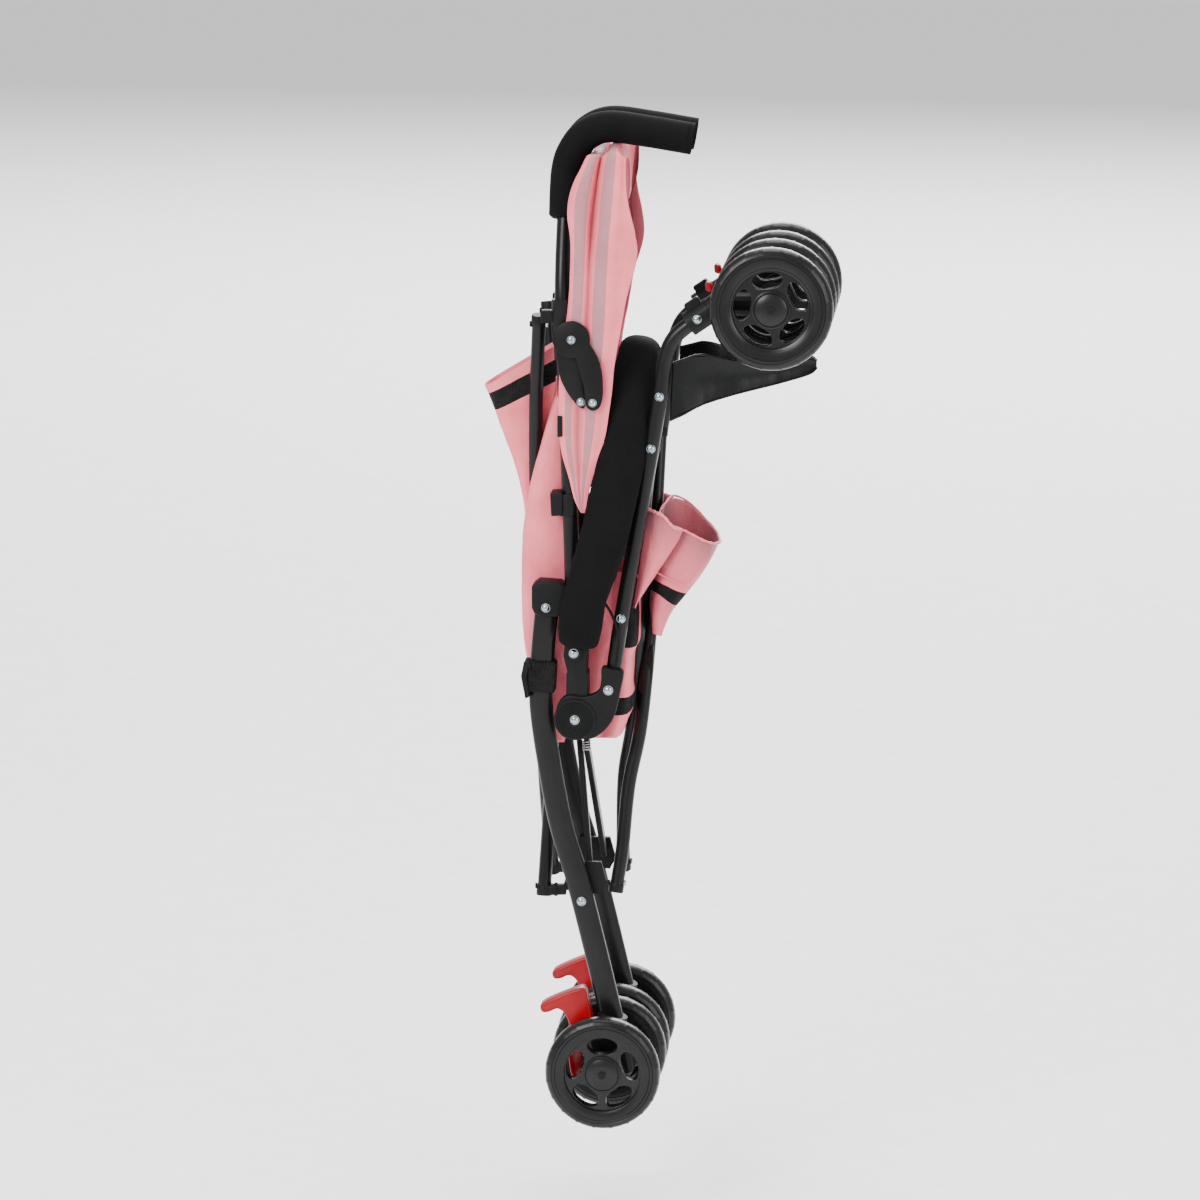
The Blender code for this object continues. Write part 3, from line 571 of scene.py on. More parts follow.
def cloth(
    name, rows, materials, body=None, deep=None, marks=None, thick=0.9, ripple=1.2, seed=0.0, closed=False
):
    """A sheet through a grid of places, smoothed, rippled and given its thickness.

    deep is one value a column, or one list a row. marks is a material number for each column of faces, or
    one list a row.
    """
    tall, wide = len(rows), len(rows[0])
    verts = [p for row in rows for p in row]
    faces, slots = [], []
    for i in range(tall - 1):
        for j in range(wide if closed else wide - 1):
            after = (j + 1) % wide
            faces.append((i * wide + j, i * wide + after, (i + 1) * wide + after, (i + 1) * wide + j))
            slots.append(per_row(marks, i)[j] if marks else 0)
    mesh = bpy.data.meshes.new(name)
    mesh.from_pydata([tuple(v) for v in verts], [], faces)
    for material in materials if isinstance(materials, (list, tuple)) else (materials,):
        mesh.materials.append(material)
    mesh.polygons.foreach_set("material_index", slots)
    # the painted shade of each place, kept as the deep attribute
    values = [0.0] * len(verts)
    if deep:
        for i in range(tall):
            for j in range(wide):
                values[i * wide + j] = per_row(deep, i)[j]
    mesh.attributes.new("deep", "FLOAT", "POINT").data.foreach_set("value", values)
    obj = new_object(name, mesh)
    even = obj.modifiers.new("smooth", "SUBSURF")
    even.levels = even.render_levels = 3
    even.boundary_smooth = "PRESERVE_CORNERS"
    apply_modifiers(obj)
    mesh = obj.data
    moves = []
    for vertex in mesh.vertices:
        p = vertex.co
        wave = noise.noise(Vector((p.x * 42 + seed, p.y * 42, p.z * 16))) + 0.5 * noise.noise(
            Vector((p.x * 110, p.y * 110 + seed, p.z * 50))
        )
        moves.append(vertex.normal * wave * ripple * MM)
    for vertex, move in zip(mesh.vertices, moves):
        vertex.co += move
    skin = obj.modifiers.new("thickness", "SOLIDIFY")
    skin.thickness = thick * MM
    skin.offset = 0
    apply_modifiers(obj)
    obj.data.shade_smooth()
    if body:
        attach(obj, body)
    return obj


def mirrored(places):
    """The same places on the far side, in reverse order."""
    return [Vector((p.x, -p.y, p.z)) for p in reversed(places)]


def rivet(name, place, y, facing, body, radius=4.4, rise=2.6):
    """A domed rivet head on a face that looks along facing times Y."""
    profile = [(radius * 1.12, -0.6), (radius * 1.12, 0.5)]
    for step in range(7):
        angle = math.pi / 2 * step / 6
        profile.append((max(radius * math.cos(angle), 0.05), 0.5 + rise * math.sin(angle)))
    centre = Vector((place.x, y * MM, place.z)) if isinstance(place, Vector) else at(place, y)
    return turned(name, profile, centre, (0, facing, 0), ZINC, body, 24)


def coat(node, *materials):
    """Puts the finish in the CAD node's own slots."""
    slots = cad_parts[node].material_slots
    for i, holder in enumerate(slots):
        holder.material = materials[min(i, len(materials) - 1)]


# Frame tubes and grips


def frame_tubes():
    for side, word in SIDES:
        y = side * HALF_WIDTH
        body, leg_body = f"{word}_frame", f"{word}_rear_leg"
        route = leaning(PUSH_TUBE + CROOK, y)
        push = sweep(f"push_tube_{word}_smooth", route, (TUBE_R, TUBE_R), TUBE, body, 64, 28)
        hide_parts(f"push_tube_{word}")
        route = leaning(GRIP_LOW + CROOK + (GRIP_END,), y)
        grip = sweep(f"handle_grip_{word}_foam", route, (16, 16), FOAM, body, 56, 36)
        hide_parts(f"handle_grip_{word}")
        route = [at(p, y) for p in FRONT_LEG]
        leg = sweep(f"front_leg_{word}_smooth", route, (TUBE_R, TUBE_R), TUBE, f"{word}_front_leg", 56, 28)
        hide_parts(f"front_leg_{word}")
        route = [at(p, y) for p in REAR_LEG]
        rear = sweep(f"rear_leg_{word}_oval", route, (7.5, 12), TUBE, leg_body, 52, 32, power=2.5)
        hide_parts(f"rear_leg_{word}")
        drum = [(10.4, -7.4), (11.6, -6.4), (11.6, 6.4), (10.4, 7.4)]
        head = turned(f"rear_leg_{word}_head", drum, at(REAR_LEG[0], y), (0, 1, 0), PLASTIC, leg_body, 32)


# Wheels


def wheel_tyre(name, centre, body, grow):
    """A tyre with a round shoulder, fine rings on its sides and small raised bars round its edge."""
    segments = 160
    lugs = [(55.4, 9.0), (57.4, 7.2), (58.6, 5.0)]
    profile = [(39.5, 7.0), (40.2, 9.2), (41.6, 9.9), (46.0, 10.4), (48.6, 10.6), (49.0, 10.2), (49.5, 10.6)]
    profile += [(52.0, 10.4), (52.4, 9.9), (52.9, 10.2)] + lugs + [(59.2, 2.6), (59.4, 0.0)]
    full = profile + [(r, -w) for r, w in reversed(profile[:-1])]
    verts = []
    for radius, along in full:
        lug = (radius, abs(along)) in lugs
        for step in range(segments):
            angle = math.tau * step / segments
            raised = 0.75 if lug and (step + (4 if along < 0 else 0)) % 8 == 0 else 0.0
            r = radius * grow + raised
            verts.append(centre + Vector((math.cos(angle) * r, along, math.sin(angle) * r)) * MM)
    return add_mesh(name, verts, ring_faces(len(full), segments, closed=True), RUBBER, body)


def spoke_plate(name, centre, body, start):
    """The rim's web: a ring with five rounded openings between its spokes, and its hub."""
    curve = bpy.data.curves.new(name, "CURVE")
    curve.dimensions = "2D"
    curve.fill_mode = "BOTH"
    curve.extrude = 5.2 * MM
    curve.bevel_depth = 0.8 * MM
    curve.bevel_resolution = 2

    def ring(places):
        spline = curve.splines.new("POLY")
        spline.points.add(len(places) - 1)
        for knot, (x, z) in zip(spline.points, places):
            knot.co = (x * MM, z * MM, 0, 1)
        spline.use_cyclic_u = True

    ring([(39.8 * math.cos(math.tau * i / 72), 39.8 * math.sin(math.tau * i / 72)) for i in range(72)])
    for turn in range(5):
        middle = math.tau * turn / 5 + start
        hole = []
        for i in range(48):
            c, n = math.cos(math.tau * i / 48), math.sin(math.tau * i / 48)
            reach = 29.2 + 9.2 * math.copysign(abs(c) ** 0.8, c)
            half = math.pi / 5 - math.asin(2.9 / reach)
            angle = middle + half * math.copysign(abs(n) ** 0.8, n)
            hole.append((reach * math.cos(angle), reach * math.sin(angle)))
        ring(hole)
    guide = new_object(name, curve)
    guide.matrix_world = Matrix.Translation(centre) @ Matrix.Rotation(math.pi / 2, 4, "X")
    mesh = evaluated_mesh(guide)
    matrix = guide.matrix_world.copy()
    bpy.data.objects.remove(guide, do_unlink=True)
    mesh.transform(matrix)
    mesh.materials.clear()
    mesh.materials.append(DARK_PLASTIC)
    shade(mesh)
    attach(new_object(name, mesh), body)


def wheels():
    out_cap = [(19.2, 5.8), (19.0, 7.6), (17.6, 8.0), (17.0, 7.2), (16.2, 7.2), (15.8, 8.6)]
    out_cap += [(13, 9.9), (8, 10.6), (3, 10.9), (0.6, 10.95)]
    in_cap = [(19.2, 5.8), (19.0, 7.6), (17.6, 8.0), (12.0, 8.3), (11.0, 9.0), (5.2, 9.0)]
    flange = [(39.2, -8.6), (41.4, -9.6), (41.4, 9.6), (39.2, 8.6), (38.6, 6.4), (38.6, -6.4)]
    castor = ("castor", CASTOR_WHEEL, CASTOR_APART, CASTOR_SIZE, CASTOR_START)
    rear = ("rear", REAR_AXLE, REAR_APART, REAR_SIZE, REAR_START)
    for side, word in SIDES:
        for way, turn in ((1, "outer"), (-1, "inner")):
            for kind, place, apart, grow, start in (castor, rear):
                node = f"{kind}_wheel_{word}_{turn}"
                centre = at(place, side * HALF_WIDTH + way * side * apart)
                tyre = wheel_tyre(f"{node}_tyre", centre, node, grow)
                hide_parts(node)
                spoke_plate(f"{node}_spokes", centre, node, math.radians(start))
                turned(f"{node}_rim", flange, centre, (0, 1, 0), DARK_PLASTIC, node, 72, closed=True)
                for facing in (-1, 1):
                    end, cap = ("out", out_cap) if facing == way * side else ("in", in_cap)
                    turned(f"{node}_hub_{end}", cap, centre, (0, facing, 0), DARK_PLASTIC, node, 48)


# Joints of the frame

ELBOW = (
    (602, 667.5), (612, 669.5), (623, 672.5), (620.5, 690), (616, 711), (610.5, 723.5), (602, 733),
    (590.5, 739.5), (577, 738.8), (565.5, 735.3), (558, 728), (555.2, 717), (557.5, 705), (563, 698),
    (570.5, 695), (580, 696.5), (588, 696), (594.5, 694), (599.2, 689), (601.2, 679),
)
NECK = (
    (565, 641), (587, 641), (586.8, 660), (586, 672.8), (587.8, 674), (587.8, 698), (566, 698),
    (566.2, 674), (567.5, 672.5), (565.2, 665), (563.4, 656), (564.2, 648),
)
LEG_BRACKET = (
    (531.4, 586), (531.4, 608), (534, 613.5), (539.5, 616.8), (556.5, 617.5), (566, 613), (569.5, 600),
    (569.5, 590), (560, 583), (538, 581.5),
)
CLIP_PAD = ((549.8, 493), (562.2, 492.4), (562.6, 515.6), (551, 516.6))
CLIP_BODY = ((560, 494.6), (574, 494.6), (574, 516.6), (560, 516.6))
LOCK_TAB = ((705, 283.5), (707.6, 281.4), (711.6, 284.6), (713.4, 290.6), (709.4, 292), (705.8, 290.4))
FRONT_ARM = (
    (584.5, 330), (590.2, 345), (594.3, 352), (598.6, 360.5), (602, 374), (602.8, 390), (601.8, 401),
    (598.8, 408.4), (592.4, 411), (587.4, 408.4), (585.3, 403), (584.4, 392.5), (580, 374),
    (574.5, 355), (572, 340),
)
REAR_ARM = (
    (553, 338), (556, 352), (559.4, 375.7), (563.5, 386), (568, 394), (572.4, 400), (577, 405.4),
    (581, 408.4), (584.4, 408), (585, 400), (584, 392), (582, 374), (584, 345),
)
PEDAL = (
    (540, 1008), (542.5, 1003.5), (560, 995.5), (579.8, 988.6), (585.5, 990.5), (588.5, 1003),
    (592, 1020), (592, 1034), (571, 1034), (569.5, 1027), (567.4, 1020), (564.2, 1014), (560.5, 1010.5),
    (556, 1009.3), (548, 1012.6), (542, 1012.4),
)
NECK_RIVET = (573.5, 653.6)
PEDAL_FOOT = ((569, 1040), (580, 1044), (582, 1062), (578, 1074), (572, 1076), (569, 1062))
ROUND_CLIP = (
    (653.6, 644.5), (649.4, 649.5), (646, 655.5), (645, 664), (645, 673.5), (647.4, 681), (651, 686),
    (652.4, 679), (653.6, 664),
)


def knuckles():
    """The moulded parts at the frame's joints, the rivets, the strap and the cord."""
    side_plates("elbow_plate", ELBOW, 64.5, 76.6, 2.0, PLASTIC, "front_leg", "elbow", 4)
    side_plates("neck", NECK, 50.5, 74.2, 2.0, PLASTIC, "frame", "knuckle")
    side_plates("clip_pad", CLIP_PAD, 52.0, 73.6, 1.4, PLASTIC, "frame", "recline_clip")
    side_plates("clip_body", CLIP_BODY, 51.0, 71.6, 1.4, PLASTIC, "frame", "recline_clip")
    side_plates("lock_tab", LOCK_TAB, 56.0, 69.0, 1.0, RED, "swivel_lock", "swivel_lock")
    side_plates("leg_bracket_plate", LEG_BRACKET, 50.4, 74.6, 2.2, PLASTIC, "frame", "rear_leg_bracket")
    for side, word in SIDES:
        y = side * HALF_WIDTH
        frame_body, leg = f"{word}_frame", f"{word}_front_leg"
        ridges = [(21.3, -1.0), (21.3, 0.5), (20.7, 1.1)]
        for radius in (18.6, 16.2, 13.8, 11.4, 9.0):
            ridges += [(radius, 1.2), (radius - 0.25, 0.35), (radius - 0.9, 0.35), (radius - 1.15, 1.2)]
        ridges += [(4.0, 1.2), (0.05, 1.2)]
        turned(f"elbow_disc_{word}", ridges, at(KNUCKLE, y + side * 15.4), (0, side, 0), PLASTIC, leg, 64)
        rivet(f"knuckle_rivet_{word}", KNUCKLE, y + side * 17.0, side, frame_body, 4.3)
        rivet(f"elbow_rivet_{word}", (15.3, -76.9), y + side * 14.6, side, leg, 4.4)
        rivet(f"neck_rivet_{word}", spot(*NECK_RIVET, -79), side * 78.2, side, frame_body, 4.3)
        rivet(f"leg_bracket_rivet_{word}", (-48.1, 6.4), y + side * 12.8, side, f"{word}_rear_leg", 4.1)
        for k, place in enumerate(((27.6, -4.4), (57.5, 169.7), (65.8, 222.5), (103.6, 301.9))):
            lift = TUBE_R if k < 3 else 13.0
            rivet(f"front_leg_rivet_{word}_{k}", place, y + side * (lift - 0.6), side, leg, 4.1)
        place = spot(581.4, 901.5, -70)
        rivet(f"rear_leg_rivet_{word}", place, y + side * 7.6, side, f"{word}_rear_leg", 4.2)
        for node in ("upper_bracket", "castor_housing", "castor_fork", "axle_housing", "cross_bracket"):
            coat(f"{node}_{word}", PLASTIC)
        coat(f"brace_link_{word}", TUBE)
    coat("leg_strap", WEBBING)
    strap()
    places = ((600.8, 597.7), (611, 613), (618, 632), (618.6, 647.4), (615.4, 669), (613.5, 679.3))
    route = [spot(px, py, -72) for px, py in places]
    cord = sweep("tie_cord_run", route, (1.4, 1.4), WEBBING, "near_front_leg", 48, 10)
    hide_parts("tie_cord")


def strap():
    """The webbing strap's free loop behind the near rear leg, and the ribs across its front."""
    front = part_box("leg_strap")[0][1] / MM
    loop = (
        (531.5, 660), (525, 659.5), (522.2, 673.5), (526.6, 696), (530.5, 694), (527.6, 674), (529.6, 665),
        (532, 665),
    )
    plate("strap_loop", [spot(px, py, -62) for px, py in loop], -76, -50, 0.6, WEBBING, "near_rear_leg")
    for k in range(6):
        shift = 3.3 * k
        ends = [spot(531 + shift, 662, front), spot(537.5 + shift, 684, front)]
        middle = (ends[0] + ends[1]) / 2
        sweep(f"strap_rib_{k}", [ends[0], middle, ends[1]], (0.75, 0.9), WEBBING, "near_rear_leg", 8, 8)


def canopy_arms():
    """The canopy's pivot discs, arms and bows, with their rivets."""
    rear = ("rear", REAR_ARM, REAR_ARM_Y, REAR_BOW, 17.5, spot(580.6, 402.4, -78))
    front = ("front", FRONT_ARM, FRONT_ARM_Y, FRONT_BOW, 18.6, spot(592.4, 403.4, -82))
    for name, corners, depth, bow, radius, rivet_place in (rear, front):
        node = f"canopy_{name}_bow"
        side_plates(f"{name}_arm", corners, depth - 1.6, depth + 1.6, 1.2, PLASTIC, f"{name}_bow", node, 4)
        tip = bow[-1]
        for side, word in SIDES:
            y = side * depth
            body = f"{word}_{name}_bow"
            profile = [(radius - 1.4, -1.6), (radius, -0.8), (radius, 1.2), (radius - 1.6, 2.0), (0.05, 2.2)]
            turned(f"{name}_disc_{word}", profile, at(CANOPY_PIVOT, y), (0, side, 0), PLASTIC, body, 56)
            wire = [at(bow[0], side * 71.6), at(bow[1], side * 69), at(bow[2], side * 63)]
            wire += [at(tip, side * 53), at((tip[0] + 0.3, tip[1] + 4), side * 45)]
            wire += [at((tip[0] + 0.5, tip[1] + 4), side * 24), at((tip[0] + 0.5, tip[1] + 4), side * 0.3)]
            sweep(f"{name}_wire_{word}", wire, (2.5, 2.5), TUBE, body, 40, 12)
            rivet(f"{name}_arm_rivet_{word}", rivet_place, side * (depth + 1.4), side, body, 3.8, 2.4)
    for side, word in SIDES:
        rivet(f"canopy_rivet_{word}", CANOPY_PIVOT, side * 81.2, side, f"{word}_frame", 3.9, 2.4)


def crossing_tubes():
    """The four crossing tubes with their end caps, bolts and links, and the clip on one of them."""
    (top_x, top_z), (low_x, low_z) = REAR_X_TOP, REAR_X_LOW
    rear = [(top_x + (low_x - top_x) * k / 6, top_z + (low_z - top_z) * k / 6) for k in range(7)]
    cap = [(7.6, -7), (7.8, -6.4), (7.8, 1.6), (7.2, 2.4), (3.0, 2.6), (0.6, 2.6)]
    head = [(3.4, 0), (3.4, 1.6), (2.7, 2.2), (0.6, 2.3)]
    for side, word in SIDES:
        for name, line, apart in (("rear", rear, 8.0), ("lower", LOWER_X, 5.5)):
            body = f"{word}_{name}_cross_tube"
            drop = line[0][1] - line[-1][1]
            points = []
            for x, z in line:
                share = (line[0][1] - z) / drop
                bend = side * apart * math.sin(math.pi * share) ** 0.5 if 0 < share < 1 else 0
                points.append(at((x + bend, z), side * CROSS_Y * (1 - 2 * share)))
            bar = sweep(f"{body}_bar", points, (7.0, 7.0), TUBE, body, 60, 24)
            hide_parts(f"{name}_cross_tube_{word}")
            for way, (place, after) in enumerate(((points[0], points[1]), (points[-1], points[-2]))):
                axis = (place - after).normalized()
                turned(f"{body}_cap_{way}", cap, place, axis, PLASTIC, body, 32)
                bolt = place - axis * 7.5 * MM
                for turn in (-1, 1):
                    if name == "lower" and way == 0 and turn > 0:
                        continue
                    seat = bolt + Vector((turn * 7.2 * MM, 0, 0))
                    finish = ZINC if turn > 0 else PLASTIC
                    turned(f"{body}_bolt_{way}_{turn}", head, seat, (turn, 0, 0), finish, body, 6)
    for side, word in SIDES:
        link = [spot(px, py, -46) for px, py in ((546, 889.5), (556, 889.2), (566, 889))]
        for place in link:
            place.y *= -side
        body = f"{word}_rear_leg"
        sweep(f"cross_link_{word}", link, (5.5, 5.4), PLASTIC, body, 12, 16, power=5.0)
        collar = [(6.6, -1.6), (7.2, -1.0), (7.2, 1.0), (6.6, 1.6)]
        turned(f"cross_link_collar_{word}", collar, link[1], (1, 0, 0), PLASTIC, body, 24)
    clip = [spot(max(px, 648.0), py, -2) for px, py in ROUND_CLIP]
    plate("round_clip", clip, -8, 8, 2.5, PLASTIC, "far_lower_cross_tube", 3)
    spring()


def spring():
    """The small bright spring under the elbow, which rides the near brace link."""
    turns, radius, height, steps = 4, 3.6, 10.5, 10
    foot = spot(586.5, 750.5, -20)
    coil = []
    for step in range(turns * steps + 1):
        angle = math.tau * step / steps
        rise = height * step / (turns * steps)
        coil.append(foot + Vector((radius * math.cos(angle), radius * math.sin(angle), rise)) * MM)
    sweep("crossing_spring", coil, (0.9, 0.9), ZINC, "near_brace_link", 160, 8)


def pedals():
    side_plates("pedal", PEDAL, 53.0, 71.5, 2.2, RED, "brake_pedal", "brake_pedal", 3)
    side_plates("pedal_foot", PEDAL_FOOT, 72.0, 78.5, 1.5, RED, "brake_pedal", None, 3)


# Bumper bar


def bumper():
    """The foam bar up the near side, over the top and down the far side."""
    near = [at((x, z), -y) for x, z, y, wide, deep in BUMPER]
    far = [at((x, z), y) for x, z, y, wide, deep in reversed(BUMPER)]
    sizes = [(wide, deep) for x, z, y, wide, deep in BUMPER]
    bar = sweep("bumper_foam", near + far, sizes + sizes[::-1], FOAM, None, 120, 40, power=2.3)
    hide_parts("bumper_bar_near", "bumper_bar_far")
    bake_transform(bar)
    for side, word in SIDES:
        boss = [(8.4, 0.0), (8.4, 3.2), (7.6, 4.0), (0.6, 4.2)]
        centre = spot(*NECK_RIVET, -79)
        centre.y = side * 74.0 * MM
        turned(f"bumper_pivot_{word}", boss, centre, (0, side, 0), PLASTIC, f"{word}_frame", 32)


# Canopy


CANOPY_Y = (-72, -78, -79.5, -58, -82, -84.5, -84.5, -81, -79.5, -77)
CANOPY_LOW_Y = (-71.8, -72.1, -71.8, -70.9, -71.8, -72.2, -72.0, -71.8, -71.6, -71.4)
# painted shade of each column: strong in the inward fold and at the inner edge
CANOPY_PAINTED_SHADE = (0.15, 0.0, 0.05, 0.9, 0.05, 0.0, 0.1, 0.0, 0.0, 0.8)
# material of each column of faces; the last is the darker pink of painted shade
CANOPY_MARKS = (0, 1, 0, 0, 1, 0, 0, 0, 2)
CANOPY_ROWS = (
    (513, (581, 581.6, 582.2, 582.8, 583.4, 584, 584.6, 585, 585.5, 584.5)),
    (500, (573.5, 575, 577, 579, 581, 583, 585, 586, 587, 586)),
    (477, (569.5, 572, 575.5, 579, 582, 586, 589, 591, 592.5, 590)),
    (455, (561, 566, 572, 577.5, 583, 591, 596, 600, 603, 598)),
    (425, (558, 564, 571, 576.5, 584, 596, 601, 605, 608.5, 602)),
    (385, (558.5, 565, 573, 579, 586, 600, 605.5, 610, 613.5, 606)),
    (352, (561, 568, 579, 584, 590, 604, 609, 613.5, 617, 608)),
    (318, (567, 570, 583.5, 587, 590, 607, 612, 619, 626.5, 617)),
    (296, (569, 570.5, 584.5, 588.5, 591, 608, 613.5, 619, 628, 619)),
    (262, (571, 572.5, 586, 589.5, 593, 609, 615, 628, 642.5, 630)),
    (237, (571, 572.5, 587, 591, 596, 610, 617, 629, 641.5, 628)),
    (215, (566, 572, 588, 593, 598, 612.5, 619, 625, 632.5, 622)),
    (192, (569, 574, 591, 596, 600, 615, 620.5, 622.5, 625, 631)),
    (166, (582, 584.5, 595.5, 599, 603, 617, 621, 623, 625, 630)),
    (150, (590, 592.5, 600, 603, 606.5, 618, 621, 624, 626.5, 628.5)),
)
CANOPY_TOP = (
    (0.62, ((-13, 446), (-9, 455), (2, 457), (6, 425), (10, 466),
            (21, 467), (25, 460), (27, 440), (28, 425), (29, 428))),
    (0.34, ((-14, 448), (-9, 459), (3, 460), (6, 414), (10, 470),
            (21, 471), (25, 462), (27, 434), (28, 408), (28, 412))),
)
CANOPY_PULL = (0, 0, 0, 0, 0, 0, 0, 3, 7, 9)
CANOPY_LOW = 330  # rows below this pixel height take CANOPY_LOW_Y
TUCK_FROM, TUCK_OVER, TUCK_Y = 455, 40, -71.4  # the foot is drawn together
LEAN_ABOVE, LEAN_OVER, CANOPY_LEAN = 200, 50, 0.2  # the top leans in with the crooks
SHALLOW_ROWS, FOLD_Y, FOLD_SHIFT = (318, 296, 262), -62, 15  # here the inner fold stands further out
FULL_PULL_ROWS, NO_PULL_ROW, PULL_OVER = 11, 14, 4  # the far front edge's pull fades out upward


def canopy():
    """The cloth's near side, top and far side, and the small buckle on its edge."""
    near = []
    for py, xs in CANOPY_ROWS:
        row = []
        tuck = clamped((py - TUCK_FROM) / TUCK_OVER)
        lean = 1 - CANOPY_LEAN * clamped((LEAN_ABOVE - py) / LEAN_OVER)
        for px, depth in zip(xs, CANOPY_LOW_Y if py > CANOPY_LOW else CANOPY_Y):
            depth += (TUCK_Y - depth) * tuck
            if py in SHALLOW_ROWS and depth > FOLD_Y:
                depth -= FOLD_SHIFT
            row.append(spot(px, py, depth * lean))
        near.append(row)
    top = []
    for share, places in CANOPY_TOP:
        top.append([at(p, y * share) for p, y in zip(places, CANOPY_Y)])
    middle = [at((x, z + 1), 0) for x, z in CANOPY_TOP[-1][1]]
    half = near + top
    rows = half + [middle]
    for i in range(len(half) - 1, -1, -1):
        share = 1.0 if i < FULL_PULL_ROWS else max(0.0, (NO_PULL_ROW - i) / PULL_OVER)
        rows.append([Vector((p.x - pull * share * MM, -p.y, p.z)) for p, pull in zip(half[i], CANOPY_PULL)])
    finishes = (PINK, SLEEVE, SHADED_PINK)
    sheet = cloth("canopy_cloth", rows, finishes, None, CANOPY_PAINTED_SHADE, CANOPY_MARKS, ripple=0.9, seed=3.0)
    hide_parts("canopy_fabric")
    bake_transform(sheet)
    buckle = [spot(px, py, -73) for px, py in ((557.3, 415.5), (562.4, 416), (562.6, 436.5), (557.4, 437))]
    plate("canopy_buckle", buckle, -74.6, -72.4, 0.8, PLASTIC, "near_front_bow")


# Seat


SEAT_TOP = (
    # pixel height of the left edge, its pixel, then the height and pixel of the front edge
    (386.4, 485.3, 345, 556),
    (392.5, 488.4, 358, 556),
    (408, 494.6, 377, 556),
    (440, 506.5, 420, 555),
    (466, 516, 455, 552),
    (500, 526, 495, 548),
    (530, 527, 530, 545),
)
SEAT_SIDE = (
    # pixel height, left edge, right edge, depth of the panel
    (397, 557, 561, -47),
    (417, 549.4, 563, -48),
    (440, 542.4, 564, -48.5),
    (463, 536.6, 565, -49),
    (485, 531, 566, -49),
    (506, 527.4, 567, -49),
    (530, 523.6, 567, -49),
    (566, 521.2, 568, -48.5),
    (607, 522, 569, -47.5),
    (640, 524, 568.5, -47.5),
    (665, 527, 569, -48),
    (700, 540, 569, -46),
    (725, 552, 569, -45),
    (742, 556, 564, -44),
)


def behind_tube(z):
    """Depth just inside the near rear crossing tube at this height, in mm."""
    top, low = REAR_X_TOP[1], REAR_X_LOW[1]
    return -CROSS_Y + 2 * CROSS_Y * (top - z) / (top - low) + CROSS_GAP


def seat_back():
    """A doubled sheet that hangs between the crossing tubes, with a webbing band across its top."""
    rows = []
    for py, left, front_py, front in SEAT_TOP:
        rough = spot(left, py, -24)
        z = rough.z / MM + ORIGIN_Z
        inner = min(behind_tube(z), -6)
        a = spot(front, front_py, inner)
        d = spot(left, py, min(inner, -24))
        b = a.lerp(d, 0.33)
        c = a.lerp(d, 0.66) + Vector((0, -0.001, 0))
        e = Vector((d.x - 0.003, -0.008, d.z - 0.001))
        near = [a, b, c, d, e]
        rows.append(near + mirrored(near))
    # painted shade, darkest at both front edges beside the tubes
    deep = (0.4, 0.15, 0.0, 0.0, 0.05, 0.05, 0.0, 0.0, 0.15, 0.4)
    marks = [[int(i == 1)] * 9 for i in range(len(rows))]
    back = cloth("seat_back_cloth", rows, (PINK, WEBBING), None, deep, marks, ripple=1.2, seed=8.0)
    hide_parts("seat_back_fabric")
    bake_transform(back)


def seat_rear():
    """The cloth that closes the seat's back between the push tubes."""
    rows = []
    for py, left, right, depth in SEAT_SIDE:
        near = []
        for step in range(5):
            share = 1 - step / 4
            bulge = 1.6 * math.sin(math.pi * share)
            near.append(spot(left + (right - left) * share, py, depth - bulge))
        edge = near[-1]
        near.append(Vector((edge.x - 0.0025, -0.026, edge.z)))
        middle = Vector((edge.x - 0.003, 0, edge.z))
        rows.append(near + [middle] + mirrored(near))
    shade = (0.5, 0.2, 0.05, 0.0, 0.0, 0.1, 0.2, 0.1, 0.0, 0.0, 0.05, 0.2, 0.5)
    rear = cloth("seat_rear_cloth", rows, PINK, None, shade, ripple=0.9, seed=8.0)
    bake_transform(rear)


SLING_ROWS = (
    (572, (600, 606, 611, 615, 625.5, 636)),
    (598, (586, 596, 604, 611, 625.5, 640)),
    (617, (586, 597, 606.5, 611, 625.5, 640)),
    (637, (587, 601, 613, 616, 626, 640)),
    (649, (588, 596, 604.5, 613, 625, 638)),
    (653, (588, 595, 603, 613, 624, 633)),
    (668, (578, 588, 599, 611, 623, 632.5)),
    (691, (570, 583, 596, 606, 620, 631)),
    (694, (570, 583, 596, 606, 620, 633)),
    (719, (568, 583, 596, 606, 617, 631)),
    (722, (568, 583, 595, 605, 616, 627)),
    (738, (572, 584, 594, 602, 611, 621)),
)
SLING_Y = (-42, -46, -48, -34, -46, -42)


def sling():
    """The seat's lower cloth, folded between the legs, with its webbing band."""
    rows = []
    for py, xs in SLING_ROWS:
        near = [spot(px, py, y) for px, y in zip(xs, SLING_Y)]
        rows.append(near + mirrored(near))
    # painted shade: deepest in the two inward folds, some at the outer edges
    deep = (0.3, 0.1, 0.0, 0.95, 0.05, 0.0, 0.0, 0.05, 0.95, 0.0, 0.1, 0.3)
    marks = []
    for i in range(len(rows)):
        upper = int(i < 4)
        marks.append([1] * 11 if i == 8 else [0, 0, 0, 0, upper, 0, upper, 0, 0, 0, 0])
    under = cloth("seat_sling_cloth", rows, (PINK, WEBBING), None, deep, marks, ripple=1.4, seed=15.0)
    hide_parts("seat_sling_fabric")
    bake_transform(under)


# Basket


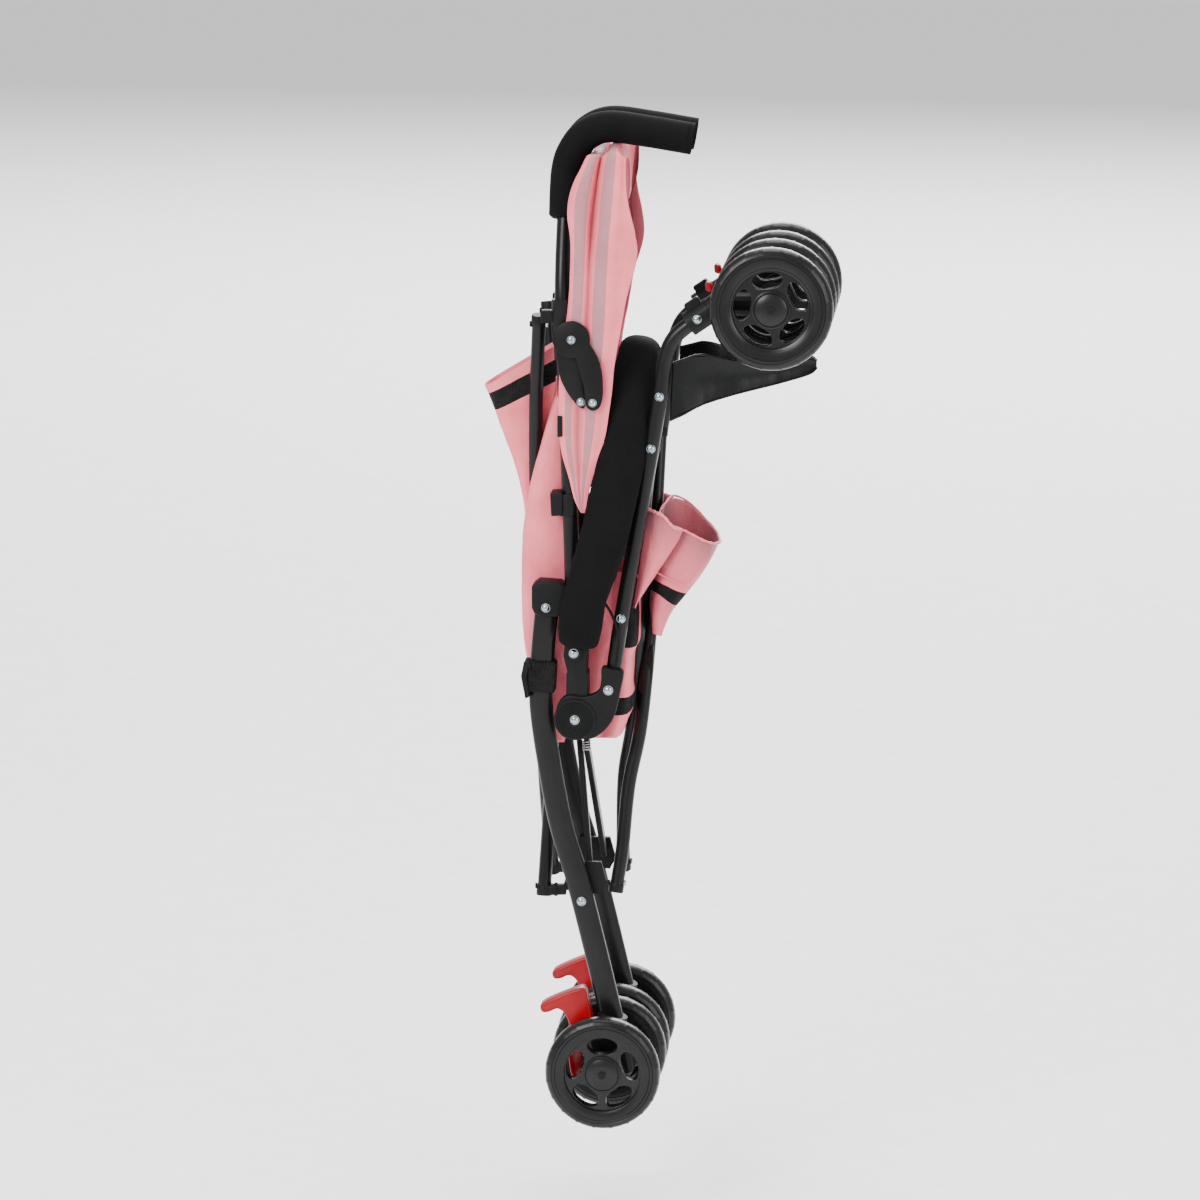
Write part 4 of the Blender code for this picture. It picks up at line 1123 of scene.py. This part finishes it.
FLAP_ROWS = (
    ((647, 508.5), (656, 512.5), (664, 517), (673, 527), (683, 530.5)),
    ((645, 524), (653, 527), (661, 531), (669, 538), (679, 541)),
    ((642, 548), (648, 550), (655, 553), (662, 556), (668, 557)),
    ((638.5, 572), (643, 573), (648, 575), (653, 576), (656.5, 573)),
    ((635.5, 590), (638, 591), (641.5, 592), (644, 591), (647, 588)),
    ((632.5, 607), (634, 608.5), (635, 608), (636.5, 605), (638, 601)),
)
FLAP_Y = (-46, -51, -53, -51, -44)
POUCH_Y = (-36, -38, -36, -26, 0, 26, 36, 38, 34, 10, -10, -28)
POUCH_ROWS = (
    ((683, 530), (692, 534.5), (704, 540.6), (714, 543.4), (720.3, 541.5), (716.4, 531), (705.5, 518.8),
     (689.7, 503), (674, 495.5), (665.5, 503), (660, 513), (669, 524)),
    ((677, 548), (688, 553), (700, 557), (709, 560), (714, 556), (711, 548), (702, 540), (690, 530),
     (674, 520), (664, 525), (658, 535), (664, 545)),
    ((669, 566), (680, 571), (692, 575), (700, 577), (703.5, 573), (702, 566), (694, 560), (684, 553),
     (670, 546), (660, 550), (654, 558), (658, 564)),
    ((661, 585), (671, 590.5), (680, 594), (687, 594.8), (690, 590), (688, 586), (681, 582), (674, 578),
     (664, 572), (656, 575), (652, 578), (655, 582)),
    ((658, 593), (665, 599.5), (671, 604.5), (676.5, 606.8), (679, 602), (677, 600), (672, 596), (666, 592),
     (658, 588), (653, 588), (651, 589), (654, 591)),
    ((656, 604), (662, 609), (667, 613.5), (670, 614.5), (671, 611), (670, 608), (666, 605), (661, 602),
     (656, 600), (652, 600), (650, 601), (652, 603)),
    ((655, 622), (659, 625), (663, 626), (665, 625), (665.5, 622), (664, 620), (661, 618), (657, 617),
     (654, 617), (652, 618), (651, 619), (652, 621)),
    ((655, 634), (658, 635.5), (661, 636), (662, 635), (662, 633), (661, 631), (659, 630), (656, 629),
     (654, 629), (653, 630), (652.5, 632), (653, 633)),
)


def basket():
    """The pouch with its open mouth, rim and seam, and a gathered flap on either side of it."""
    rows = [[spot(px, py, y) for (px, py), y in zip(line, POUCH_Y)] for line in POUCH_ROWS]
    marks = [[int(i == 3)] * 12 for i in range(len(rows))]
    # painted shade: the pouch darker near its rim, and darker still inside its mouth
    deep = []
    for i in range(len(rows)):
        shade = (0.85, 0.5, 0.2, 0.1)[i] if i < 4 else 0.25
        inside = (0.55, 0.7, 1.0, 1.0)[i] if i < 4 else 0.8
        front = (shade, shade * 0.8, shade, shade, shade, 0.9)
        deep.append((*front, inside, inside * 0.8, inside, 1.0, 1.0, 0.6))
    finishes = (BASKET_PINK, WEBBING)
    pouch = cloth("basket_cloth", rows, finishes, None, deep, marks, ripple=1.4, seed=21.0, closed=True)
    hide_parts("basket_fabric_near", "basket_fabric_far")
    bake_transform(pouch)
    hem = [(1.5 if k % 2 else 1.0, 1.4 if k % 2 else 1.0) for k in range(33)]
    rim = sweep("basket_rim", rows[0] + [rows[0][0]], hem, BASKET_PINK, None, 110, 10)
    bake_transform(rim)
    seam_places = ((657, 572.5, -37), (667, 578, -38.5), (679, 584, -39.5), (689.5, 588.4, -39.5))
    pipe = [spot(px, py, y) for px, py, y in seam_places]
    seam = sweep("basket_seam", pipe, (0.9, 0.9), BASKET_PINK, "near_front_leg", 24, 8)
    for side, word, body in ((-1, "near", "near_front_leg"), (1, "far", "far_basket")):
        rows = []
        for line in FLAP_ROWS:
            row = [spot(px, py, y) for (px, py), y in zip(line, FLAP_Y)]
            for place in row:
                place.y *= -side
            rows.append(row)
        shade = ((1.0, 0.9, 0.75, 0.6, 0.5), (0.9, 0.7, 0.55, 0.4, 0.3)) + ((0.5, 0.3, 0.15, 0.1, 0.1),) * 4
        flap = cloth(f"basket_flap_{word}", rows, BASKET_PINK, body, shade, ripple=1.4, seed=27.0)
        piping(f"basket_flap_rim_{word}", rows[0], 1.5, body)


def piping(name, places, radius, body):
    """A gathered elastic hem: a thin roll whose thickness swells and shrinks."""
    sizes = [(radius * (1.25 if k % 2 else 0.8), radius * (1.2 if k % 2 else 0.85)) for k in range(17)]
    roll = sweep(name, places, sizes, BASKET_PINK, body, 60, 10)
    return roll


# Footrest


def footrest():
    """The folded glossy sheet between the front legs, with a thin bound edge."""
    for side, word in SIDES:
        body = f"{word}_footrest"
        rows = []
        lows, highs = [], []
        start, end = FOOTREST[0][0], FOOTREST[-1][0]
        for i, (x, low, high) in enumerate(FOOTREST):
            y = 52.3 + (3.4 - 52.3) * (x - start) / (end - start)
            fold = 3.2 if i == 1 else 0.0
            row = []
            for step in range(6):
                share = step / 5
                hollow = 2.4 * math.sin(math.pi * share) if i > 1 else 0.0
                ahead = x + 2.5 * share * (i < 2)
                depth = max(y + fold * (1 - share) - hollow, 2.6)
                row.append(at((ahead, low + (high - low) * share), side * depth))
            rows.append(row)
            lows.append(row[0])
            highs.append(row[-1])
        panel = cloth(f"footrest_sheet_{word}", rows, GLOSS, body, ripple=0.5, thick=1.8, seed=31.0)
        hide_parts(f"footrest_{word}")
        for name, edge in (("low", lows), ("high", highs)):
            sweep(f"footrest_{name}_edge_{word}", edge, (1.5, 1.3), GLOSS, body, 48, 10)


# Studio


def studio():
    world = bpy.data.worlds.new("studio")
    bpy.context.scene.world = world
    world.use_nodes = True
    sky = world.node_tree.nodes["Background"]
    sky.inputs["Color"].default_value = (1.0, 1.0, 1.0, 1.0)
    sky.inputs["Strength"].default_value = 1.0
    floor_z = at((0, REAR_AXLE[1] - FLOOR_DROP)).z
    mesh = bpy.data.meshes.new("floor")
    around = ((-1, -1), (1, -1), (1, 1), (-1, 1))
    mesh.from_pydata([(x * FLOOR_SIZE, y * FLOOR_SIZE, floor_z) for x, y in around], [], [(0, 1, 2, 3)])
    floor = new_object("floor", mesh)
    pale = speckled("pale_floor", (0.86, 0.86, 0.86), (0.9, 0.9, 0.9), (0.7, 0.85), 40, 0.02, 0.0005)
    mesh.materials.append(pale)
    for name, place, power, size in (
        ("key", (-1.6, -2.6, 1.4), 130, 1.6),
        ("fill", (2.6, -2.2, 0.6), 60, 1.8),
        ("top", (0.2, 0.3, 2.6), 110, 2.0),
        ("back", (0.6, 7.0, 4.2), 1300, 6.0),
    ):
        data = bpy.data.lights.new(name, "AREA")
        data.energy = power
        data.size = size
        aim(new_object(name, data), place, Vector((0, 0, -0.45)) - Vector(place))


make_camera()
studio()
frame_tubes()
wheels()
knuckles()
canopy_arms()
crossing_tubes()
pedals()
bumper()
canopy()
seat_back()
seat_rear()
sling()
basket()
footrest()
